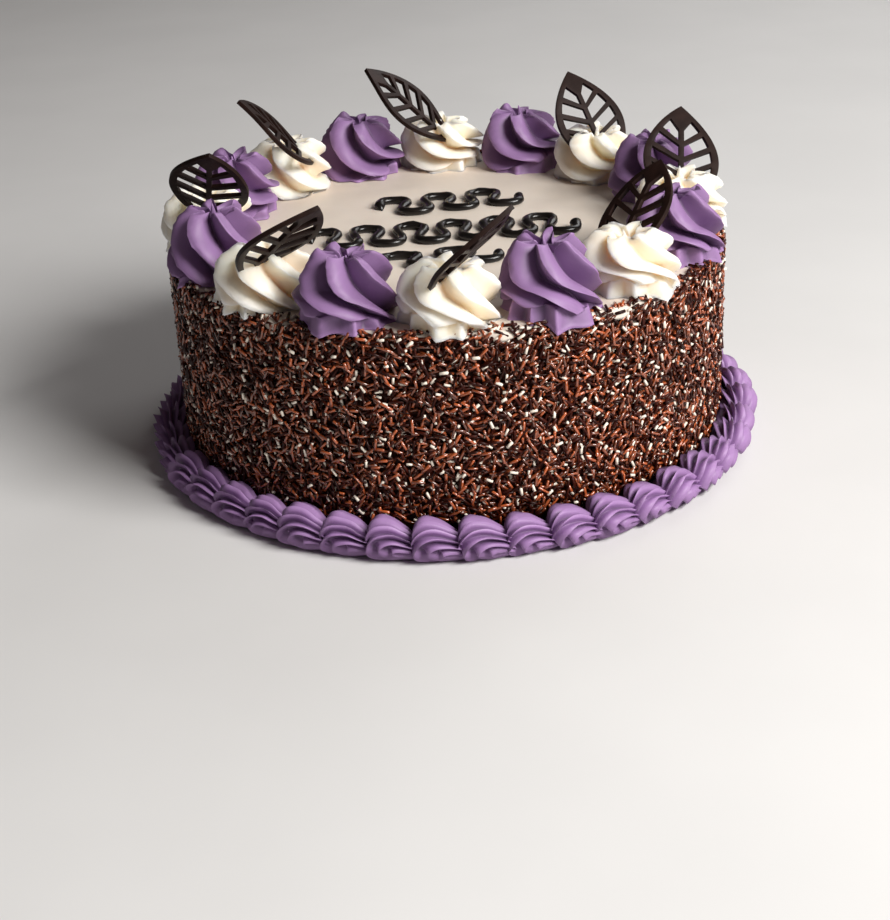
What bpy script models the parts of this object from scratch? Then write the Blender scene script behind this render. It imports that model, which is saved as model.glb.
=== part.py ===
"""Round celebration cake: a sprinkle-coated side under a smooth cream top, a ring of
sixteen piped swirls in white and purple by turns, a pierced chocolate leaf leaning in
each white swirl, dark piped waves on the top and a piped shell border round the foot.

The origin is the centre of the resting face, +Z is up and the front is -Y.
Run with: blender --background --python part.py
"""
import math
import random

import bmesh
import bpy
from mathutils import Matrix, Vector

# Driving dimensions, in metres
MM = 0.001
GAP = 0.3 * MM  # clearance that neighbouring pieces keep

CAKE_HEIGHT = 80.1 * MM  # floor to the top of the cream
COAT_RADIUS = 105.7 * MM  # mean radius over the sprinkle coat
FOOT_RADIUS = 104.0 * MM  # bare side behind the shell border
FOOT_HEIGHT = 15.6 * MM
COAT_UNEVENNESS = 0.55 * MM
COAT_SMALLEST_BUMP = 0.2  # as a share of the largest
COAT_COLUMNS = 60
COAT_ROWS = 8
COAT_SHOULDER = 1.6 * MM  # height in which the coat swells out at its foot and rim
RIM_DROP = 0.9 * MM  # the coat's rim ends this far below the cream
RIM_INSET = 0.4 * MM
MERGE_DISTANCE = 0.01 * MM  # corners closer than this become one after a cut or a union

CREAM_THICKNESS = 3.0 * MM
CREAM_RADIUS = 103.6 * MM
CREAM_EDGE_ROUND = 1.1 * MM
CREAM_BOTTOM_INSET = 0.3 * MM
CREAM_UNEVENNESS = 0.8 * MM
CREAM_COLUMNS = 56

SPRINKLE_COUNT = 32
SPRINKLE_LENGTH = 5.6 * MM
SPRINKLE_RADIUS = 0.8 * MM
SPRINKLE_SIDES = 6
SPRINKLE_SHOULDER = 0.82  # share of its half length at which its end starts to close
SPRINKLE_SINK = 0.05 * MM  # how far its middle line lies under the coat's surface
SPRINKLE_MARGIN = 3.0 * MM  # kept clear above the foot and below the rim
SPRINKLE_BANDS = 7  # how often the spread runs from foot to rim

SWIRL_COUNT = 16
SWIRL_RING_RADIUS = 89.4 * MM
SWIRL_RADIUS = 17.25 * MM
SWIRL_SMALLEST = 0.975  # radius of the smallest swirl, as a share of the largest
PURPLE_SWIRL_HEIGHT = 25.8 * MM
WHITE_SWIRL_HEIGHT = 22.4 * MM  # pressed down a little where the leaf went in
SWIRL_HEIGHT_SPREAD = 0.04
SWIRL_RIDGES = 6
SWIRL_SWAY = 1.4 * MM  # how far a tip may stand off its foot's centre
SWIRL_TURN = math.radians(140)  # how far a ridge winds from the foot to the tip
SWIRL_TURN_SPREAD = 0.07
SWIRL_SEED = 40
FIRST_SWIRL_ANGLE = math.radians(-157.5)
# A swirl's outline from the foot up: (share of height, share of radius, valley depth)
SWIRL_OUTLINE = (
    (0.00, 0.99, 0.22),
    (0.14, 1.00, 0.27),
    (0.34, 0.99, 0.29),
    (0.52, 0.92, 0.31),
    (0.68, 0.79, 0.33),
    (0.83, 0.60, 0.38),
    (0.95, 0.36, 0.45),
)

LEAF_LENGTH = 48.0 * MM
LEAF_WIDTH = 29.4 * MM
LEAF_THICKNESS = 1.6 * MM
LEAF_BORDER = 2.8 * MM
LEAF_MIDRIB = 2.0 * MM
LEAF_VEIN = 2.0 * MM
LEAF_WINDOWS = 5  # openings on each side of the midrib
LEAF_SLANT = 5.4 * MM  # how far a vein climbs between midrib and border
LEAF_FOOT_SOLID = 5.0 * MM  # unpierced length at the foot
LEAF_TIP_SOLID = 9.2 * MM  # unpierced length of the midrib at the tip
LEAF_FOOT_POINT = 1.6 * MM
LEAF_TIP_POINT = 4.4 * MM
LEAF_WAVE = 0.5 * MM
LEAF_TWIST = 120.0  # how fast the wave runs across the leaf, in radians per metre
LEAF_SLOT_STEPS = 10
LEAF_SLOT_WAVE_ROOM = 0.8  # share of the wave that the slot leaves room for

BORDER_SHELLS = 44
BORDER_COLUMNS_PER_SHELL = 4
BORDER_REACH = 15.0 * MM  # from the cake's foot to the fullest part of a shell
BORDER_TAIL_REACH = 10.8 * MM
BORDER_HEIGHT = 14.8 * MM
BORDER_TAIL_HEIGHT = 11.2 * MM
BORDER_LEAN = math.radians(2.4)
SHELL_HEAD = 0.28  # share of a shell's length that its steep head takes
SHELL_SMALLEST = 0.9  # fullness of the smallest shell beside the largest
# A shell's section from the inner foot outward and over the top:
# (share of reach, share of height, share of lean)
BORDER_OUTLINE = (
    (0.0, 0.0, 0.0),
    (0.94, 0.0, 0.5),
    (1.0, 0.16, 0.3),
    (0.88, 0.50, -0.2),
    (0.56, 0.85, -0.7),
    (0.14, 1.0, -0.8),
    (0.0, 0.93, 0.0),
)

PIPING_WIDTH = 3.4 * MM
PIPING_HEIGHT = 2.6 * MM
PIPING_END_TAPER = 0.62
# The section across a line of piping: (share of half width, share of height)
PIPING_SECTION = ((-0.85, 0.0), (-0.95, 0.55), (0.0, 1.0), (0.95, 0.55), (0.85, 0.0))
PIPING_STEPS_PER_WAVE = 10
PIPING_BULGE = 0.36  # how far a crest leans over, as a share of half a wave's length

UNEVENNESS_SEED = 11
ROOT_NAME = "celebration_cake"

# Linear colours and roughness of the finishes
SPRINKLE_FINISH = (0.10, 0.035, 0.018, 0.45)
TOP_CREAM_FINISH = (0.75, 0.66, 0.57, 0.5)
WHITE_CREAM_FINISH = (0.86, 0.79, 0.68, 0.5)
PURPLE_CREAM_FINISH = (0.27, 0.13, 0.37, 0.5)
LEAF_FINISH = (0.022, 0.011, 0.008, 0.3)
PIPING_FINISH = (0.006, 0.005, 0.004, 0.15)


class PipingRow:
    """One row of dark piping on the top: a running wave that climbs to the right."""

    def __init__(self, name, x, y, half_length, height, waves, rise):
        self.name = name
        self.x = x * MM
        self.y = y * MM
        self.half_length = half_length * MM
        self.height = height * MM
        self.waves = waves
        self.rise = rise * MM


PIPING_ROWS = (
    PipingRow("piping_back", x=2, y=32, half_length=27, height=17, waves=3, rise=9),
    PipingRow("piping_middle", x=-1, y=-4, half_length=50, height=19, waves=6, rise=9),
    PipingRow("piping_front", x=-2, y=-33, half_length=20, height=13, waves=2, rise=6),
)


class Leaf:
    """Where one leaf stands on its swirl, and how it leans.

    outward, along and up are measured from the swirl's foot: away from the cake's axis,
    anticlockwise round it, and up. heading turns the lean outward, spin rolls the leaf
    about its midrib.
    """

    def __init__(self, swirl, outward, along, up, heading, lean, spin):
        self.swirl = swirl
        self.offset = (outward * MM, along * MM, up * MM)
        self.heading = math.radians(heading)
        self.lean = math.radians(lean)
        self.spin = math.radians(spin)


# The leaves were pushed in by hand, so each stands a little differently
LEAVES = (
    Leaf(swirl=1, outward=10, along=-1, up=11, heading=-8, lean=39, spin=10),
    Leaf(swirl=3, outward=6, along=-7, up=12, heading=33, lean=45, spin=-4),
    Leaf(swirl=5, outward=-4, along=-7, up=5, heading=-8, lean=38, spin=15),
    Leaf(swirl=7, outward=0, along=-9, up=5, heading=6, lean=41, spin=-15),
    Leaf(swirl=9, outward=-2, along=-12, up=3, heading=13, lean=48, spin=6),
    Leaf(swirl=11, outward=-7, along=-5, up=11, heading=0, lean=42, spin=16),
    Leaf(swirl=13, outward=-10, along=-5, up=11, heading=5, lean=43, spin=24),
    Leaf(swirl=15, outward=0, along=6, up=11, heading=-12, lean=45, spin=17),
)


def clear_scene():
    """Start from an empty scene."""
    for item in list(bpy.data.objects):
        bpy.data.objects.remove(item, do_unlink=True)


def make_material(name, finish):
    """A Principled BSDF with one colour."""
    red, green, blue, roughness = finish
    material = bpy.data.materials.new(name)
    material.use_nodes = True
    shader = material.node_tree.nodes["Principled BSDF"]
    shader.inputs["Base Color"].default_value = (red, green, blue, 1.0)
    shader.inputs["Roughness"].default_value = roughness
    shader.inputs["Metallic"].default_value = 0.0
    material.diffuse_color = (red, green, blue, 1.0)
    return material


def add_object(name, mesh_builder, material, root):
    """Turn a bmesh into a named object under the root empty."""
    mesh = bpy.data.meshes.new(name)
    bmesh.ops.recalc_face_normals(mesh_builder, faces=mesh_builder.faces)
    bmesh.ops.triangulate(mesh_builder, faces=mesh_builder.faces)
    mesh_builder.to_mesh(mesh)
    mesh_builder.free()
    mesh.materials.append(material)
    item = bpy.data.objects.new(name, mesh)
    bpy.context.scene.collection.objects.link(item)
    item.parent = root
    return item


def polar(radius, angle, height):
    """A point given by its distance from the axis, its angle and its height."""
    return Vector((radius * math.cos(angle), radius * math.sin(angle), height))


def bridge(builder, lower, upper):
    """Close the band between two rings of the same number of vertices."""
    count = len(lower)
    for index in range(count):
        after = (index + 1) % count
        builder.faces.new((lower[index], lower[after], upper[after], upper[index]))


def swirl_angle(index):
    """The angle round the cake of one swirl; the first stands at the left front."""
    return FIRST_SWIRL_ANGLE + 2.0 * math.pi * index / SWIRL_COUNT


def swirl_foot(index):
    """The centre of one swirl's foot, just above the cream."""
    return polar(SWIRL_RING_RADIUS, swirl_angle(index), CAKE_HEIGHT + GAP)


def coat_radius_grid(draw):
    """Radii of the bumpy coat, row by row, each bump about one sprinkle in size."""
    grid = []
    for row in range(COAT_ROWS):
        radii = []
        for column in range(COAT_COLUMNS):
            side = 1.0 if (row + column) % 2 == 0 else -1.0
            bump = side * draw.uniform(COAT_SMALLEST_BUMP, 1.0) * COAT_UNEVENNESS
            radii.append(COAT_RADIUS + bump)
        grid.append(radii)
    return grid


def coat_row_height(row):
    """Height of one row of the bumpy coat."""
    low = FOOT_HEIGHT + COAT_SHOULDER
    high = CAKE_HEIGHT - RIM_DROP - COAT_SHOULDER
    return low + (high - low) * row / (COAT_ROWS - 1)


def coat_surface_radius(grid, angle, height):
    """Radius of the bumpy coat at one place, read between the grid's bumps."""
    low = coat_row_height(0)
    step = coat_row_height(1) - low
    across = (angle / (2.0 * math.pi) * COAT_COLUMNS) % COAT_COLUMNS
    upward = min(max((height - low) / step, 0.0), COAT_ROWS - 1.001)
    column = int(across)
    row = int(upward)
    share_across = across - column
    share_up = upward - row
    after = (column + 1) % COAT_COLUMNS
    lower = grid[row][column] * (1.0 - share_across) + grid[row][after] * share_across
    upper = grid[row + 1][column] * (1.0 - share_across) + grid[row + 1][after] * share_across
    return lower * (1.0 - share_up) + upper * share_up


def cake_body(grid):
    """The cake with its bumpy coat: a plain foot, and a rim that stands round the cream."""
    builder = bmesh.new()
    floor_of_dish = CAKE_HEIGHT - CREAM_THICKNESS - GAP
    rim_height = CAKE_HEIGHT - RIM_DROP
    dish_radius = CREAM_RADIUS + 2.0 * GAP
    rings = [
        [(FOOT_RADIUS, 0.0)] * COAT_COLUMNS,
        [(FOOT_RADIUS, FOOT_HEIGHT)] * COAT_COLUMNS,
    ]
    for row, radii in enumerate(grid):
        rings.append([(radius, coat_row_height(row)) for radius in radii])
    rings.append([(COAT_RADIUS - RIM_INSET, rim_height)] * COAT_COLUMNS)
    rings.append([(dish_radius, rim_height)] * COAT_COLUMNS)
    rings.append([(dish_radius, floor_of_dish)] * COAT_COLUMNS)
    made = []
    for ring in rings:
        vertices = []
        for column, (radius, height) in enumerate(ring):
            angle = 2.0 * math.pi * column / COAT_COLUMNS
            vertices.append(builder.verts.new(polar(radius, angle, height)))
        made.append(vertices)
    for lower, upper in zip(made, made[1:]):
        bridge(builder, lower, upper)
    builder.faces.new(made[0])
    builder.faces.new(made[-1])
    return builder


def sprinkle_mesh():
    """One sugar strand along X with blunt pointed ends."""
    builder = bmesh.new()
    half = SPRINKLE_LENGTH / 2.0
    rings = []
    for place in (-half * SPRINKLE_SHOULDER, half * SPRINKLE_SHOULDER):
        ring = []
        for side in range(SPRINKLE_SIDES):
            angle = 2.0 * math.pi * side / SPRINKLE_SIDES
            y = SPRINKLE_RADIUS * math.cos(angle)
            z = SPRINKLE_RADIUS * math.sin(angle)
            ring.append(builder.verts.new((place, y, z)))
        rings.append(ring)
    bridge(builder, rings[0], rings[1])
    for ring, end in ((rings[0], -half), (rings[1], half)):
        tip = builder.verts.new((end, 0.0, 0.0))
        for side in range(SPRINKLE_SIDES):
            after = (side + 1) % SPRINKLE_SIDES
            builder.faces.new((ring[side], ring[after], tip))
    bmesh.ops.recalc_face_normals(builder, faces=builder.faces)
    mesh = bpy.data.meshes.new("sprinkle")
    builder.to_mesh(mesh)
    builder.free()
    return mesh


def sprinkle_matrix(grid, index, draw):
    """Spread the proud sprinkles evenly over the coat, each lying its own way."""
    golden = math.pi * (3.0 - math.sqrt(5.0))
    angle = (index * golden) % (2.0 * math.pi)
    share = (index + 0.5) / SPRINKLE_COUNT
    low = coat_row_height(0) + SPRINKLE_MARGIN
    high = coat_row_height(COAT_ROWS - 1) - SPRINKLE_MARGIN
    height = low + (high - low) * ((share * SPRINKLE_BANDS) % 1.0)
    radius = coat_surface_radius(grid, angle, height) - SPRINKLE_SINK
    across = Vector((-math.sin(angle), math.cos(angle), 0.0))
    outward = Vector((math.cos(angle), math.sin(angle), 0.0))
    lie = draw.uniform(0.0, math.pi)
    along = across * math.cos(lie) + Vector((0.0, 0.0, 1.0)) * math.sin(lie)
    third = outward.cross(along)
    turn = Matrix((along, third, outward)).transposed().to_4x4()
    return Matrix.Translation(polar(radius, angle, height)) @ turn


def fuse_sprinkles(cake, grid, draw):
    """Join the sprinkles to the cake with one union on their collection."""
    collection = bpy.data.collections.new("sprinkles")
    bpy.context.scene.collection.children.link(collection)
    mesh = sprinkle_mesh()
    for index in range(SPRINKLE_COUNT):
        item = bpy.data.objects.new(f"sprinkle_{index:02d}", mesh)
        item.matrix_world = sprinkle_matrix(grid, index, draw)
        collection.objects.link(item)
    union = cake.modifiers.new("fuse", "BOOLEAN")
    union.operation = "UNION"
    union.operand_type = "COLLECTION"
    union.collection = collection
    union.solver = "EXACT"
    bpy.context.view_layer.update()
    replace_by_evaluated(cake)
    for item in list(collection.objects):
        bpy.data.objects.remove(item, do_unlink=True)
    bpy.data.collections.remove(collection)


def replace_by_evaluated(item):
    """Apply an object's modifiers and keep the largest closed body of the result."""
    graph = bpy.context.evaluated_depsgraph_get()
    mesh = bpy.data.meshes.new_from_object(item.evaluated_get(graph))
    item.modifiers.clear()
    item.data = mesh
    builder = bmesh.new()
    builder.from_mesh(mesh)
    bmesh.ops.remove_doubles(builder, verts=builder.verts, dist=MERGE_DISTANCE)
    bmesh.ops.dissolve_degenerate(builder, edges=builder.edges, dist=MERGE_DISTANCE)
    drop_scraps(builder)
    bmesh.ops.triangulate(builder, faces=builder.faces)
    builder.to_mesh(mesh)
    builder.free()


def drop_scraps(builder):
    """Delete every loose body but the one with the most vertices."""
    unseen = set(builder.verts)
    bodies = []
    while unseen:
        start = unseen.pop()
        body = {start}
        front = [start]
        while front:
            vertex = front.pop()
            for edge in vertex.link_edges:
                other = edge.other_vert(vertex)
                if other not in body:
                    body.add(other)
                    front.append(other)
        unseen -= body
        bodies.append(body)
    bodies.sort(key=len)
    for body in bodies[:-1]:
        bmesh.ops.delete(builder, geom=list(body), context="VERTS")


def cream_disc(draw):
    """The cream spread over the top, its edge slightly uneven and rounded."""
    builder = bmesh.new()
    bottom = CAKE_HEIGHT - CREAM_THICKNESS
    wander = [-draw.uniform(0.0, CREAM_UNEVENNESS) for _ in range(CREAM_COLUMNS)]
    levels = (
        (-CREAM_BOTTOM_INSET, bottom),
        (0.0, CAKE_HEIGHT - CREAM_EDGE_ROUND),
        (-CREAM_EDGE_ROUND, CAKE_HEIGHT),
    )
    rings = []
    for inset, height in levels:
        ring = []
        for column in range(CREAM_COLUMNS):
            angle = 2.0 * math.pi * column / CREAM_COLUMNS
            radius = CREAM_RADIUS + inset + wander[column]
            ring.append(builder.verts.new(polar(radius, angle, height)))
        rings.append(ring)
    for lower, upper in zip(rings, rings[1:]):
        bridge(builder, lower, upper)
    builder.faces.new(rings[0])
    builder.faces.new(rings[-1])
    return builder


def swirl(index, usual_height):
    """One piped swirl: a star cone whose ridges wind down anticlockwise to a wide foot."""
    builder = bmesh.new()
    columns = 2 * SWIRL_RIDGES
    draw = random.Random(SWIRL_SEED + index)
    radius = SWIRL_RADIUS * draw.uniform(SWIRL_SMALLEST, 1.0)
    height = usual_height * (1.0 + SWIRL_HEIGHT_SPREAD * draw.uniform(-1.0, 1.0))
    start = draw.uniform(0.0, 2.0 * math.pi)
    turn = SWIRL_TURN * (1.0 + SWIRL_TURN_SPREAD * draw.uniform(-1.0, 1.0))
    sway = Vector((draw.uniform(-1.0, 1.0), draw.uniform(-1.0, 1.0), 0.0)) * SWIRL_SWAY
    rings = []
    for share_up, share_out, depth in SWIRL_OUTLINE:
        ring = []
        for column in range(columns):
            angle = start + 2.0 * math.pi * column / columns - turn * share_up
            reach = radius * share_out
            if column % 2:
                reach *= 1.0 - depth
            point = polar(reach, angle, height * share_up)
            ring.append(builder.verts.new(point + sway * share_up * share_up))
        rings.append(ring)
    for lower, upper in zip(rings, rings[1:]):
        bridge(builder, lower, upper)
    tip = builder.verts.new(Vector((0.0, 0.0, height)) + sway)
    for column in range(columns):
        after = (column + 1) % columns
        builder.faces.new((rings[-1][column], rings[-1][after], tip))
    builder.faces.new(rings[0])
    return builder


def leaf_half_width(share):
    """Half the leaf's width at a share of its length: a pointed oval."""
    return 0.5 * LEAF_WIDTH * (1.0 - (2.0 * share - 1.0) ** 2)


def leaf_height(along, across):
    """The leaf's gentle wave out of its own plane."""
    share = along / LEAF_LENGTH
    return LEAF_WAVE * math.sin(2.0 * math.pi * share + LEAF_TWIST * across)


def leaf_stations():
    """Places along the midrib: the foot, both edges of each opening, and the tip."""
    pitch = (LEAF_LENGTH - LEAF_TIP_SOLID - LEAF_FOOT_SOLID) / LEAF_WINDOWS
    places = [LEAF_FOOT_POINT]
    for index in range(LEAF_WINDOWS):
        places.append(LEAF_FOOT_SOLID + index * pitch)
        places.append(LEAF_FOOT_SOLID + (index + 1) * pitch - LEAF_VEIN)
    places.append(LEAF_LENGTH - LEAF_TIP_POINT)
    return places


def leaf_outline(side):
    """Columns of points for one half: midrib edge, border's inner edge, outer edge."""
    columns = []
    for place in leaf_stations():
        share = place / LEAF_LENGTH
        climb = LEAF_SLANT * (1.0 - abs(2.0 * share - 1.0) ** 3)
        far = place + climb
        outer = leaf_half_width(far / LEAF_LENGTH)
        middle = 0.5 * LEAF_MIDRIB
        inner = max(outer - LEAF_BORDER, middle + GAP)
        columns.append(((place, side * middle), (far, side * inner), (far, side * outer)))
    return columns


def pierced_leaf():
    """A thin wavy leaf with a border, a midrib and slanting veins round open windows."""
    builder = bmesh.new()
    half = 0.5 * LEAF_THICKNESS
    cache = {}

    def vertex(point, level):
        key = (round(point[0], 7), round(point[1], 7), level)
        if key not in cache:
            height = leaf_height(point[0], point[1]) + level * half
            cache[key] = builder.verts.new((point[0], point[1], height))
        return cache[key]

    flat = []
    foot = (0.0, 0.0)
    tip = (LEAF_LENGTH, 0.0)
    sides = {side: leaf_outline(side) for side in (1, -1)}
    left, right = sides[1], sides[-1]
    for here, there in zip(range(len(left)), range(1, len(left))):
        flat.append((right[here][0], right[there][0], left[there][0], left[here][0]))
    for side, columns in sides.items():
        for index in range(len(columns) - 1):
            here, there = columns[index], columns[index + 1]
            flat.append((here[1], there[1], there[2], here[2]))
            if index % 2 == 0:
                flat.append((here[0], there[0], there[1], here[1]))
        flat.append((foot, columns[0][0], columns[0][1]))
        flat.append((foot, columns[0][1], columns[0][2]))
        flat.append((tip, columns[-1][0], columns[-1][1]))
        flat.append((tip, columns[-1][1], columns[-1][2]))
    flat.append((foot, left[0][0], right[0][0]))
    flat.append((tip, left[-1][0], right[-1][0]))
    thicken(builder, flat, vertex)
    return builder


def thicken(builder, flat, vertex):
    """Give flat faces a second, equal face and walls along every open edge."""
    uses = {}
    for face in flat:
        area = 0.0
        for index, point in enumerate(face):
            after = face[(index + 1) % len(face)]
            area += point[0] * after[1] - after[0] * point[1]
        ordered = list(face) if area > 0.0 else list(reversed(face))
        pieces = [ordered[:3]]
        if len(ordered) == 4:
            pieces.append([ordered[0], ordered[2], ordered[3]])
        for piece in pieces:
            builder.faces.new([vertex(point, 1) for point in piece])
            builder.faces.new([vertex(point, -1) for point in reversed(piece)])
            for index, point in enumerate(piece):
                after = piece[(index + 1) % len(piece)]
                key = tuple(sorted((rounded(point), rounded(after))))
                uses.setdefault(key, []).append((point, after))
    for edges in uses.values():
        if len(edges) == 1:
            point, after = edges[0]
            quad = (vertex(after, 1), vertex(point, 1), vertex(point, -1), vertex(after, -1))
            builder.faces.new(quad)


def rounded(point):
    """A point as a key that equal points share."""
    return (round(point[0], 7), round(point[1], 7))


def leaf_slot():
    """The space that a leaf needs in its swirl: its outline without windows, grown."""
    builder = bmesh.new()
    half = 0.5 * LEAF_THICKNESS + GAP + LEAF_SLOT_WAVE_ROOM * LEAF_WAVE
    steps = LEAF_SLOT_STEPS
    growth = 2.0 * GAP
    levels = []
    for level in (-1, 1):
        ring = []
        for index in range(2 * steps):
            side = 1.0 if index < steps else -1.0
            count = index if index < steps else 2 * steps - 1 - index
            share = count / (steps - 1)
            along = share * (LEAF_LENGTH + 2.0 * growth) - growth
            across = side * (leaf_half_width(share) + growth)
            height = leaf_height(along, across) + level * half
            ring.append(builder.verts.new((along, across, height)))
        levels.append(ring)
    bridge(builder, levels[0], levels[1])
    for ring in levels:
        for index in range(steps - 1):
            twin = 2 * steps - 1 - index
            builder.faces.new((ring[index], ring[index + 1], ring[twin - 1], ring[twin]))
    bmesh.ops.recalc_face_normals(builder, faces=builder.faces)
    mesh = bpy.data.meshes.new("leaf_slot")
    builder.to_mesh(mesh)
    builder.free()
    return mesh


def leaf_matrix(leaf):
    """Stand a leaf on its swirl: it leans anticlockwise round the ring of swirls."""
    angle = swirl_angle(leaf.swirl)
    outward = Vector((math.cos(angle), math.sin(angle), 0.0))
    along = Vector((-math.sin(angle), math.cos(angle), 0.0))
    up = Vector((0.0, 0.0, 1.0))
    forward = along * math.cos(leaf.heading) + outward * math.sin(leaf.heading)
    level = outward * math.cos(leaf.heading) - along * math.sin(leaf.heading)
    axis = forward * math.cos(leaf.lean) + up * math.sin(leaf.lean)
    normal = up * math.cos(leaf.lean) - forward * math.sin(leaf.lean)
    side = level * math.cos(leaf.spin) + normal * math.sin(leaf.spin)
    third = axis.cross(side)
    turn = Matrix((axis, side, third)).transposed().to_4x4()
    foot = swirl_foot(leaf.swirl)
    foot += outward * leaf.offset[0] + along * leaf.offset[1] + up * leaf.offset[2]
    return Matrix.Translation(foot) @ turn


def cut_slot(item, slot_mesh, matrix):
    """Open the slot for a leaf in a swirl."""
    cutter = bpy.data.objects.new("slot_cutter", slot_mesh)
    cutter.hide_render = True
    cutter.display_type = "WIRE"
    bpy.context.scene.collection.objects.link(cutter)
    cutter.matrix_world = matrix
    cut = item.modifiers.new("slot", "BOOLEAN")
    cut.operation = "DIFFERENCE"
    cut.object = cutter
    cut.solver = "EXACT"
    bpy.context.view_layer.update()
    replace_by_evaluated(item)
    bpy.data.objects.remove(cutter, do_unlink=True)


def shell_fullness(share):
    """How full a shell is along its length: a steep head and a long tail."""
    if share < SHELL_HEAD:
        return math.sin(0.5 * math.pi * share / SHELL_HEAD)
    return math.cos(0.5 * math.pi * (share - SHELL_HEAD) / (1.0 - SHELL_HEAD))


def shell_border(draw):
    """The ring of shells round the foot, one closed body that wraps the cake."""
    builder = bmesh.new()
    inner = FOOT_RADIUS + GAP
    columns = BORDER_SHELLS * BORDER_COLUMNS_PER_SHELL
    sections = []
    size = 1.0
    for column in range(columns):
        share = (column % BORDER_COLUMNS_PER_SHELL) / BORDER_COLUMNS_PER_SHELL
        if column % BORDER_COLUMNS_PER_SHELL == 0:
            size = draw.uniform(SHELL_SMALLEST, 1.0)
        full = size * shell_fullness(share)
        reach = BORDER_TAIL_REACH + (BORDER_REACH - BORDER_TAIL_REACH) * full
        height = BORDER_TAIL_HEIGHT + (BORDER_HEIGHT - BORDER_TAIL_HEIGHT) * full
        base = 2.0 * math.pi * column / columns
        section = []
        for share_out, share_up, lean in BORDER_OUTLINE:
            angle = base - lean * BORDER_LEAN
            point = polar(inner + reach * share_out, angle, height * share_up)
            section.append(builder.verts.new(point))
        sections.append(section)
    for column, section in enumerate(sections):
        bridge(builder, section, sections[(column + 1) % columns])
    return builder


def piped_line(points):
    """A line of piping that lies on the cream along the given points, with round ends."""
    builder = bmesh.new()
    base = CAKE_HEIGHT + GAP
    rings = []
    last = len(points) - 1
    for index, (x, y) in enumerate(points):
        before = points[max(index - 1, 0)]
        after = points[min(index + 1, last)]
        direction = Vector((after[0] - before[0], after[1] - before[1], 0.0)).normalized()
        across = Vector((direction.y, -direction.x, 0.0))
        taper = PIPING_END_TAPER if index in (0, last) else 1.0
        ring = []
        for share_across, share_up in PIPING_SECTION:
            point = Vector((x, y, base)) + across * (share_across * taper * PIPING_WIDTH / 2.0)
            point.z += share_up * taper * PIPING_HEIGHT
            ring.append(builder.verts.new(point))
        rings.append(ring)
    for lower, upper in zip(rings, rings[1:]):
        bridge(builder, lower, upper)
    builder.faces.new(rings[0])
    builder.faces.new(rings[-1])
    return builder


def wave_points(centre_x, centre_y, half_length, height, waves, rise):
    """Points of a running wave whose crests bulge wider than their necks."""
    steps = waves * PIPING_STEPS_PER_WAVE
    bulge = PIPING_BULGE * half_length / waves
    points = []
    for index in range(steps + 1):
        phase = 2.0 * math.pi * index / PIPING_STEPS_PER_WAVE
        share = index / steps
        x = centre_x + half_length * (2.0 * share - 1.0) - bulge * math.sin(2.0 * phase)
        y = centre_y + 0.5 * height * math.sin(phase) + rise * (share - 0.5)
        points.append((x, y))
    return points


def build():
    """Make every piece of the cake."""
    clear_scene()
    root = bpy.data.objects.new(ROOT_NAME, None)
    bpy.context.scene.collection.objects.link(root)

    sponge = make_material("sprinkle_coat", SPRINKLE_FINISH)
    top_cream = make_material("top_cream", TOP_CREAM_FINISH)
    white = make_material("white_buttercream", WHITE_CREAM_FINISH)
    purple = make_material("purple_buttercream", PURPLE_CREAM_FINISH)
    chocolate = make_material("dark_chocolate", LEAF_FINISH)
    glaze = make_material("dark_piping", PIPING_FINISH)

    draw = random.Random(UNEVENNESS_SEED)
    grid = coat_radius_grid(draw)
    cake = add_object("cake", cake_body(grid), sponge, root)
    fuse_sprinkles(cake, grid, draw)
    add_object("cream_top", cream_disc(draw), top_cream, root)

    swirls = []
    for index in range(SWIRL_COUNT):
        is_white = index % 2 == 1
        name = f"swirl_{index + 1:02d}_{'white' if is_white else 'purple'}"
        usual_height = WHITE_SWIRL_HEIGHT if is_white else PURPLE_SWIRL_HEIGHT
        mesh = swirl(index, usual_height)
        item = add_object(name, mesh, white if is_white else purple, root)
        item.location = swirl_foot(index)
        item.rotation_euler = (0.0, 0.0, swirl_angle(index))
        swirls.append(item)
    bpy.context.view_layer.update()

    slot_mesh = leaf_slot()
    for number, leaf in enumerate(LEAVES, start=1):
        matrix = leaf_matrix(leaf)
        cut_slot(swirls[leaf.swirl], slot_mesh, matrix)
        item = add_object(f"leaf_{number}", pierced_leaf(), chocolate, root)
        item.matrix_world = matrix
    bpy.data.meshes.remove(slot_mesh)

    add_object("shell_border", shell_border(draw), purple, root)
    for row in PIPING_ROWS:
        points = wave_points(row.x, row.y, row.half_length, row.height, row.waves, row.rise)
        add_object(row.name, piped_line(points), glaze, root)


build()
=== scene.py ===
"""The looks of a round celebration cake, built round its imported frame.

Chocolate strands lie on the side, piped swirls in purple and white stand round the
smooth top, a pierced chocolate leaf leans in each white swirl, dark waves are piped on
the top, and a border of piped shells runs round the foot. Lengths are in metres,
+Z is up and the front is -Y.
"""

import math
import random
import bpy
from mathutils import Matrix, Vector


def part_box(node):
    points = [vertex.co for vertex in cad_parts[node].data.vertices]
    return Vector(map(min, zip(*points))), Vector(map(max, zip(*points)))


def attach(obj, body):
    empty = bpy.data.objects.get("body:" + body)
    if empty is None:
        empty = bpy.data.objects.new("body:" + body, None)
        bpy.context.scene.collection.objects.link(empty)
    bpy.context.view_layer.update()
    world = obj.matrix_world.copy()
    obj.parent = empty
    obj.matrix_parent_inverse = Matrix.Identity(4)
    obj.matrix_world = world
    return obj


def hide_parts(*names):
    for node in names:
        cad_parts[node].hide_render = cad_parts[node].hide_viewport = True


bl_info = {
    "name": "Celebration Cake",
    "version": (1, 0, 0),
    "blender": (4, 5, 0),
    "location": "View3D > Sidebar > Cake",
    "description": "Dresses the packed celebration cake in cream, strands and chocolate",
    "category": "Object",
}

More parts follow.
